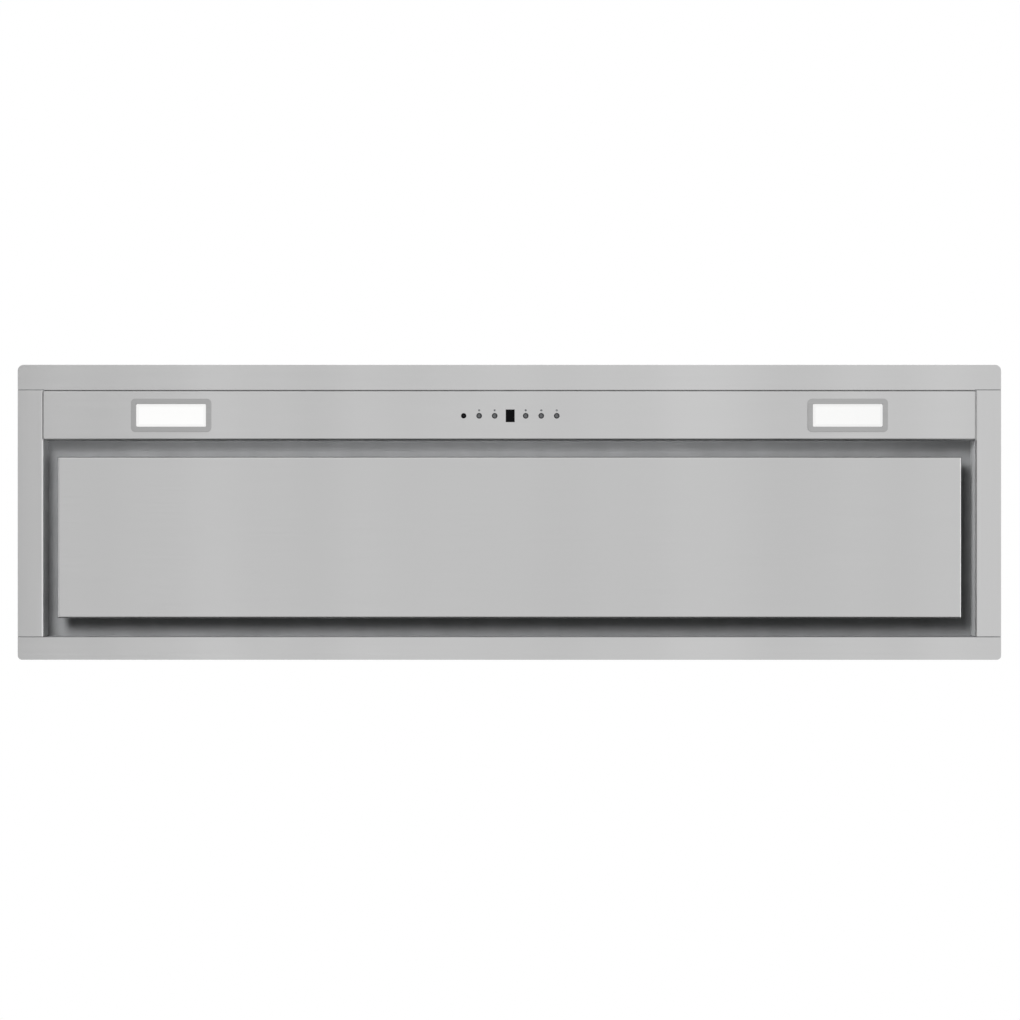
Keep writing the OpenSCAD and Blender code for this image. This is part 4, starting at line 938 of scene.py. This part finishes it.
class HOOD_OT_filters(Operator):
    """Makes the grease filters: aluminium frames, layers of expanded mesh and sprung latches"""
    bl_idname = "hood.filters"
    bl_label = "Filters"

    def execute(self, context):
        dress_copy("filter_frames", "aluminium", 0.5, 3)
        for side in SIDES:
            dress_copy("filter_latch_" + side, "black", 0.5, 3)
        self.meshes(context.scene.hood_edges.mesh_cell)
        return {"FINISHED"}

    def meshes(self, cell_size):
        """Two layers of expanded mesh in each filter, the second set half a cell aside."""
        low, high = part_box("filter_meshes")
        # The CAD meshes keep the same distance from the middle on both sides
        gap = min(abs(vertex.co.x) for vertex in NODES["filter_meshes"].data.vertices)
        sink = 0.9 * MM
        for side, name in ((-1, "left"), (1, "right")):
            x0, x1 = sorted((side * gap, side * high.x))
            mesh = join([self.layer(cell_size, x0, x1, low.y, high.y, z, shift)
                         for z, shift in ((low.z + sink, 0.0), (high.z - sink, 0.5))])
            mesh.name = "filter_mesh_" + name
            smooth(mesh, 50)
            stand_in(mesh, "filter_meshes", "mesh")

    def layer(self, cell_size, x0, x1, y0, y1, z, shift):
        """One sheet of expanded mesh: a slit and stretched cell, repeated and trimmed to the frame."""
        length, width = cell_size[0] * MM, cell_size[1] * MM
        strand, rise, thick, weld = 0.45 * MM, 1.0 * MM, 0.5 * MM, 0.02 * MM
        # Share of the length beyond which a point belongs to one of the raised ends of a cell
        end = 0.3
        deselect()
        bpy.ops.mesh.primitive_circle_add(vertices=4, radius=0.5, fill_type="NGON", location=(0, 0, 0))
        cell = bpy.context.object
        cell.scale = (length, width, 1)
        apply_transform()
        edit(cell)
        bpy.ops.mesh.inset(thickness=strand, depth=0)
        bpy.ops.mesh.delete(type="FACE")
        bpy.ops.mesh.select_mode(type="VERT")
        bpy.ops.mesh.select_all(action="DESELECT")
        mode("OBJECT")
        for vertex in cell.data.vertices:
            vertex.select = abs(vertex.co.x) > length * end
        mode("EDIT")
        bpy.ops.transform.translate(value=(0, 0, rise))
        deselect()
        cell.location = (x0 - length * shift, y0 - width * shift, z)
        apply_transform()
        repeat(cell, 2, (length / 2, width / 2, 0))
        repeat(cell, int((x1 - x0) / length) + 2, (length, 0, 0))
        repeat(cell, int((y1 - y0) / width) + 2, (0, width, 0))
        edit(cell)
        bpy.ops.mesh.remove_doubles(threshold=weld)
        cut((((x0, 0, 0), (-1, 0, 0)), ((x1, 0, 0), (1, 0, 0)),
             ((0, y0, 0), (0, -1, 0)), ((0, y1, 0), (0, 1, 0))), clear_outer=True)
        deselect()
        apply_modifier(cell, "SOLIDIFY", thickness=thick, offset=0.0)
        return cell


class HOOD_OT_chassis(Operator):
    """Makes the galvanised chassis and the baffle in it"""
    bl_idname = "hood.chassis"
    bl_label = "Chassis"

    def execute(self, context):
        edge = context.scene.hood_edges.sheet_edge
        dress_wrap("chassis_wrap", 14, edge)
        for node in ("chassis_end_left", "chassis_end_right", "air_baffle"):
            dress_copy(node, "zinc", edge)
        return {"FINISHED"}


class HOOD_OT_motor_housing(Operator):
    """Makes the galvanised motor housing and its end plates"""
    bl_idname = "hood.motor_housing"
    bl_label = "Motor housing"

    def execute(self, context):
        edge = context.scene.hood_edges.sheet_edge
        dress_wrap("motor_housing", 26, edge)
        for side in SIDES:
            dress_copy("housing_end_" + side, "zinc", edge)
        return {"FINISHED"}


class HOOD_OT_duct_outlet(Operator):
    """Makes the outlet collar with its damper flaps and pin"""
    bl_idname = "hood.duct_outlet"
    bl_label = "Duct outlet"

    def execute(self, context):
        collar = copy_of("outlet_collar", "outlet_collar_dressed")
        soften(collar, 0.4, 3)
        bead_drop = 11 * MM
        bead_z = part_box("outlet_collar")[1].z - bead_drop
        bead = turned("collar_bead", COLLAR_BEAD, 96, True, place=(0, 0, bead_z))
        count = 12
        gussets = [self.gusset(i * math.tau / count + math.tau / count / 2) for i in range(count)]
        stand_in(join([collar, bead] + gussets), "outlet_collar", "white")
        dress_copy("damper_pin", "plated", 0.3, 3)
        for side in SIDES:
            dress_copy("damper_flap_" + side, "aluminium", 0.25)
        return {"FINISHED"}

    def gusset(self, angle):
        """A thin triangular rib between the collar's flange and its tube."""
        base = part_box("outlet_collar")[0].z + 1.9 * MM
        length, thick, height = 7.4 * MM, 1.8 * MM, 9.0 * MM
        middle, tube, narrowed = 77.9 * MM, 74.3 * MM, (0.16, 0.8, 1)
        rib = block((middle, 0, base + height / 2), (length, thick, height))
        pick(rib, lambda face: face.normal.z > INCLINED)
        bpy.ops.transform.resize(value=narrowed, center_override=(tube, 0, 0))
        bpy.ops.mesh.select_all(action="SELECT")
        bpy.ops.transform.rotate(value=angle, orient_axis="Z", center_override=(0, 0, 0))
        deselect()
        soften(rib, 0.3)
        return rib


class HOOD_OT_blower(Operator):
    """Makes the blower: scroll halves, impeller, motor, shaft and bracket"""
    bl_idname = "hood.blower"
    bl_label = "Blower"

    def execute(self, context):
        edge = context.scene.hood_edges.moulded_edge
        for side in SIDES:
            dress_copy("blower_scroll_" + side, "black", edge)
        dress_copies(("impeller", "black", 0.2), ("motor_shaft", "plated", 0.3),
                     ("motor_case", "enamel", 1.0, 3), ("motor_bracket", "zinc", 0.25))
        return {"FINISHED"}


class HOOD_OT_electronics(Operator):
    """Makes the electronics box, its cover, the board and its parts, the gland and the wiring"""
    bl_idname = "hood.electronics"
    bl_label = "Electronics"

    def execute(self, context):
        self.box()
        dress_copies(("electronics_cover", "zinc", 0.3), ("main_board", "board", 0.25),
                     ("capacitor", "white", 0.6), ("terminal_block", "white", 0.4),
                     ("inner_wiring", "sheath", 0.2))
        self.gland()
        return {"FINISHED"}

    def box(self):
        """The electronics box with a bank of pressed cooling louvres in each long wall."""
        # Millimetres from column to column, from row to row and up to the first row
        column_step, row_step, first_row = 32, 7, 11
        box = copy_of("electronics_box", "electronics_box_dressed")
        soften(box, 0.22)
        paint(box, "zinc")
        low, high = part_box("electronics_box")
        louvre = self.louvre()
        parts = [box]
        for wall, turn in ((low.y, 0), (high.y, math.pi)):
            for column in (-1, 0, 1):
                for row in range(4):
                    place = ((low.x + high.x) / 2 + column * column_step * MM, wall,
                             low.z + (first_row + row * row_step) * MM)
                    parts.append(twin_of(louvre, (0, 0, turn), place))
        bpy.data.objects.remove(louvre)
        stand_in(join(parts), "electronics_box", "zinc")

    def louvre(self):
        """One pressed louvre, 24 mm long, that leans out over a slit below it; its underside is painted
        black as painted shade of that slit.
        """
        lean, narrowed = 0.6 * MM, (0.86, 0.3, 1)
        louvre = block((0, -lean, 0), (24 * MM, 2.0 * MM, 3.6 * MM))
        pick(louvre, lambda face: face.normal.z > INCLINED)
        bpy.ops.transform.resize(value=narrowed)
        bpy.ops.transform.translate(value=(0, lean, 0))
        deselect()
        soften(louvre, 0.9, 3, 60)
        # Painted shade: the faces under the louvre are black in place of the shaded slit
        paint(louvre, "zinc", "black")
        paint_second(louvre, lambda face: face.normal.z < -INCLINED)
        return louvre

    def gland(self):
        """A hexagonal body and locknut with a ribbed dome nut."""
        low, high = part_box("cable_gland")
        centre = (low + high) / 2
        place = (low.x, centre.y, centre.z)
        length, rim = (high.x - low.x) / MM, (high.y - low.y) / MM / 2
        wall = (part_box("electronics_box")[0].x - low.x) / MM
        dome = turned("gland_dome", [(3.6, 0.0), (6.0, 0.0), (7.6, 1.2), (8.4, 3.0), (8.4, 9.6),
                                     (7.4, 10.2), (7.4, wall), (8.6, wall + 0.2), (8.6, length),
                                     (3.6, length)], 48, True, "X", place)
        # One nut in front of the wall of the box and one behind it
        bore, thick = 8.3, 4.0
        nuts = []
        for at in (wall - thick, wall + 1.5):
            profile = [(bore, at), (rim, at), (rim, at + thick), (bore, at + thick)]
            nuts.append(turned("gland_nut", profile, 6, True, "X", place))
            soften(nuts[-1], 0.5)
        rib = turned("gland_rib", GLAND_RIB, 8, axis="X", place=(0, 0, 8.3 * MM))
        count = 16
        ribs = [twin_of(rib, (i * math.tau / count, 0, 0), place) for i in range(count)]
        bpy.data.objects.remove(rib)
        gland = join([dome] + nuts + ribs)
        gland.name = "cable_gland_turned"
        stand_in(gland, "cable_gland", "black")


class HOOD_OT_fasteners(Operator):
    """Makes the pan-head screws with cross recesses and sets one at each CAD screw"""
    bl_idname = "hood.fasteners"
    bl_label = "Fasteners"

    def execute(self, context):
        head_height, turned_by = 2 * MM, 0.4
        # Screws between these two heights and behind this line have their heads below
        lowest, highest, rear = 24 * MM, 60 * MM, 50 * MM
        master = self.screw(context.scene.hood_edges.head_turns)
        pieces = []
        for low, high in self.sites():
            middle = (low + high) / 2
            flip = middle.z > lowest and high.z < highest and low.y > rear
            seat = low.z + head_height if flip else high.z - head_height
            turn = (math.pi, 0, 0) if flip else (0, 0, turned_by)
            pieces.append(twin_of(master, turn, (middle.x, middle.y, seat)))
        bpy.data.objects.remove(master)
        screws = join(pieces)
        screws.name = "assembly_screws_cross_recess"
        smooth(screws)
        stand_in(screws, "assembly_screws", "plated")
        return {"FINISHED"}

    def screw(self, steps):
        """One pan-head screw, its head's seat at the origin and its point downward."""
        head = turned("screw_master", PAN_SCREW, steps)
        for turn in (0, math.pi / 2):
            slot = block((0, 0, 1.7 * MM), (3.0 * MM, 0.75 * MM, 1.6 * MM), turn)
            boolean(head, slot, "DIFFERENCE")
        return head

    def sites(self):
        """The box of each screw of the CAD node, found by its loose parts."""
        copy = copy_of("assembly_screws", "screw_sites")
        edit(copy)
        bpy.ops.mesh.separate(type="LOOSE")
        deselect()
        boxes = []
        for piece in [o for o in bpy.data.objects if o.name.startswith("screw_sites")]:
            points = [vertex.co for vertex in piece.data.vertices]
            boxes.append([Vector([end(p[i] for p in points) for i in range(3)]) for end in (min, max)])
            bpy.data.objects.remove(piece)
        return sorted(boxes, key=lambda box: tuple(box[0]))


class HOOD_OT_rivets(Operator):
    """Makes the pop rivets that join the end plates to the folded chassis and housing"""
    bl_idname = "hood.rivets"
    bl_label = "Rivets"

    def execute(self, context):
        rivets = []
        for node, setback, inset, rows in RIVET_ROWS:
            low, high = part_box(node)
            for side in (-1, 1):
                for y, axis in ((low.y + setback * MM, "-Y"), (high.y - setback * MM, "Y")):
                    for z in rows:
                        place = (side * (high.x - inset * MM), y, z * MM)
                        rivets.append(turned("pop_rivet", POP_RIVET, 12, False, axis, place))
        joined = join(rivets)
        joined.name = "pop_rivets"
        dress(joined, "root", "plated", [])
        return {"FINISHED"}


class HOOD_PT_panel(Panel):
    """Lists the steps that dress the hood"""
    bl_label = "Range Hood"
    bl_idname = "HOOD_PT_panel"
    bl_space_type = "VIEW_3D"
    bl_region_type = "UI"
    bl_category = "Range Hood"

    def draw(self, context):
        for step in STEPS:
            self.layout.operator(step.bl_idname)
        scene = context.scene
        for group in (scene.hood_tones, scene.hood_stage, scene.hood_edges):
            box = self.layout.box()
            for key in group.__annotations__:
                box.prop(group, key)


STEPS = (HOOD_OT_finishes, HOOD_OT_stage, HOOD_OT_frame_rails, HOOD_OT_fascia, HOOD_OT_suction_panel,
         HOOD_OT_intake_tray, HOOD_OT_lamps, HOOD_OT_push_buttons, HOOD_OT_display, HOOD_OT_filters,
         HOOD_OT_chassis, HOOD_OT_motor_housing, HOOD_OT_duct_outlet, HOOD_OT_blower,
         HOOD_OT_electronics, HOOD_OT_fasteners, HOOD_OT_rivets)
CLASSES = (ToneSettings, StageSettings, EdgeSettings) + STEPS + (HOOD_PT_panel,)


def register():
    """Registers the settings, the steps and the panel."""
    for part in CLASSES:
        bpy.utils.register_class(part)
    bpy.types.Scene.hood_tones = PointerProperty(type=ToneSettings)
    bpy.types.Scene.hood_stage = PointerProperty(type=StageSettings)
    bpy.types.Scene.hood_edges = PointerProperty(type=EdgeSettings)


def unregister():
    """Takes all of it out again."""
    del bpy.types.Scene.hood_tones
    del bpy.types.Scene.hood_stage
    del bpy.types.Scene.hood_edges
    for part in reversed(CLASSES):
        bpy.utils.unregister_class(part)


def main():
    """Runs every step."""
    register()
    for step in STEPS:
        group, name = step.bl_idname.split(".")
        getattr(getattr(bpy.ops, group), name)()


if __name__ == "__main__":
    main()
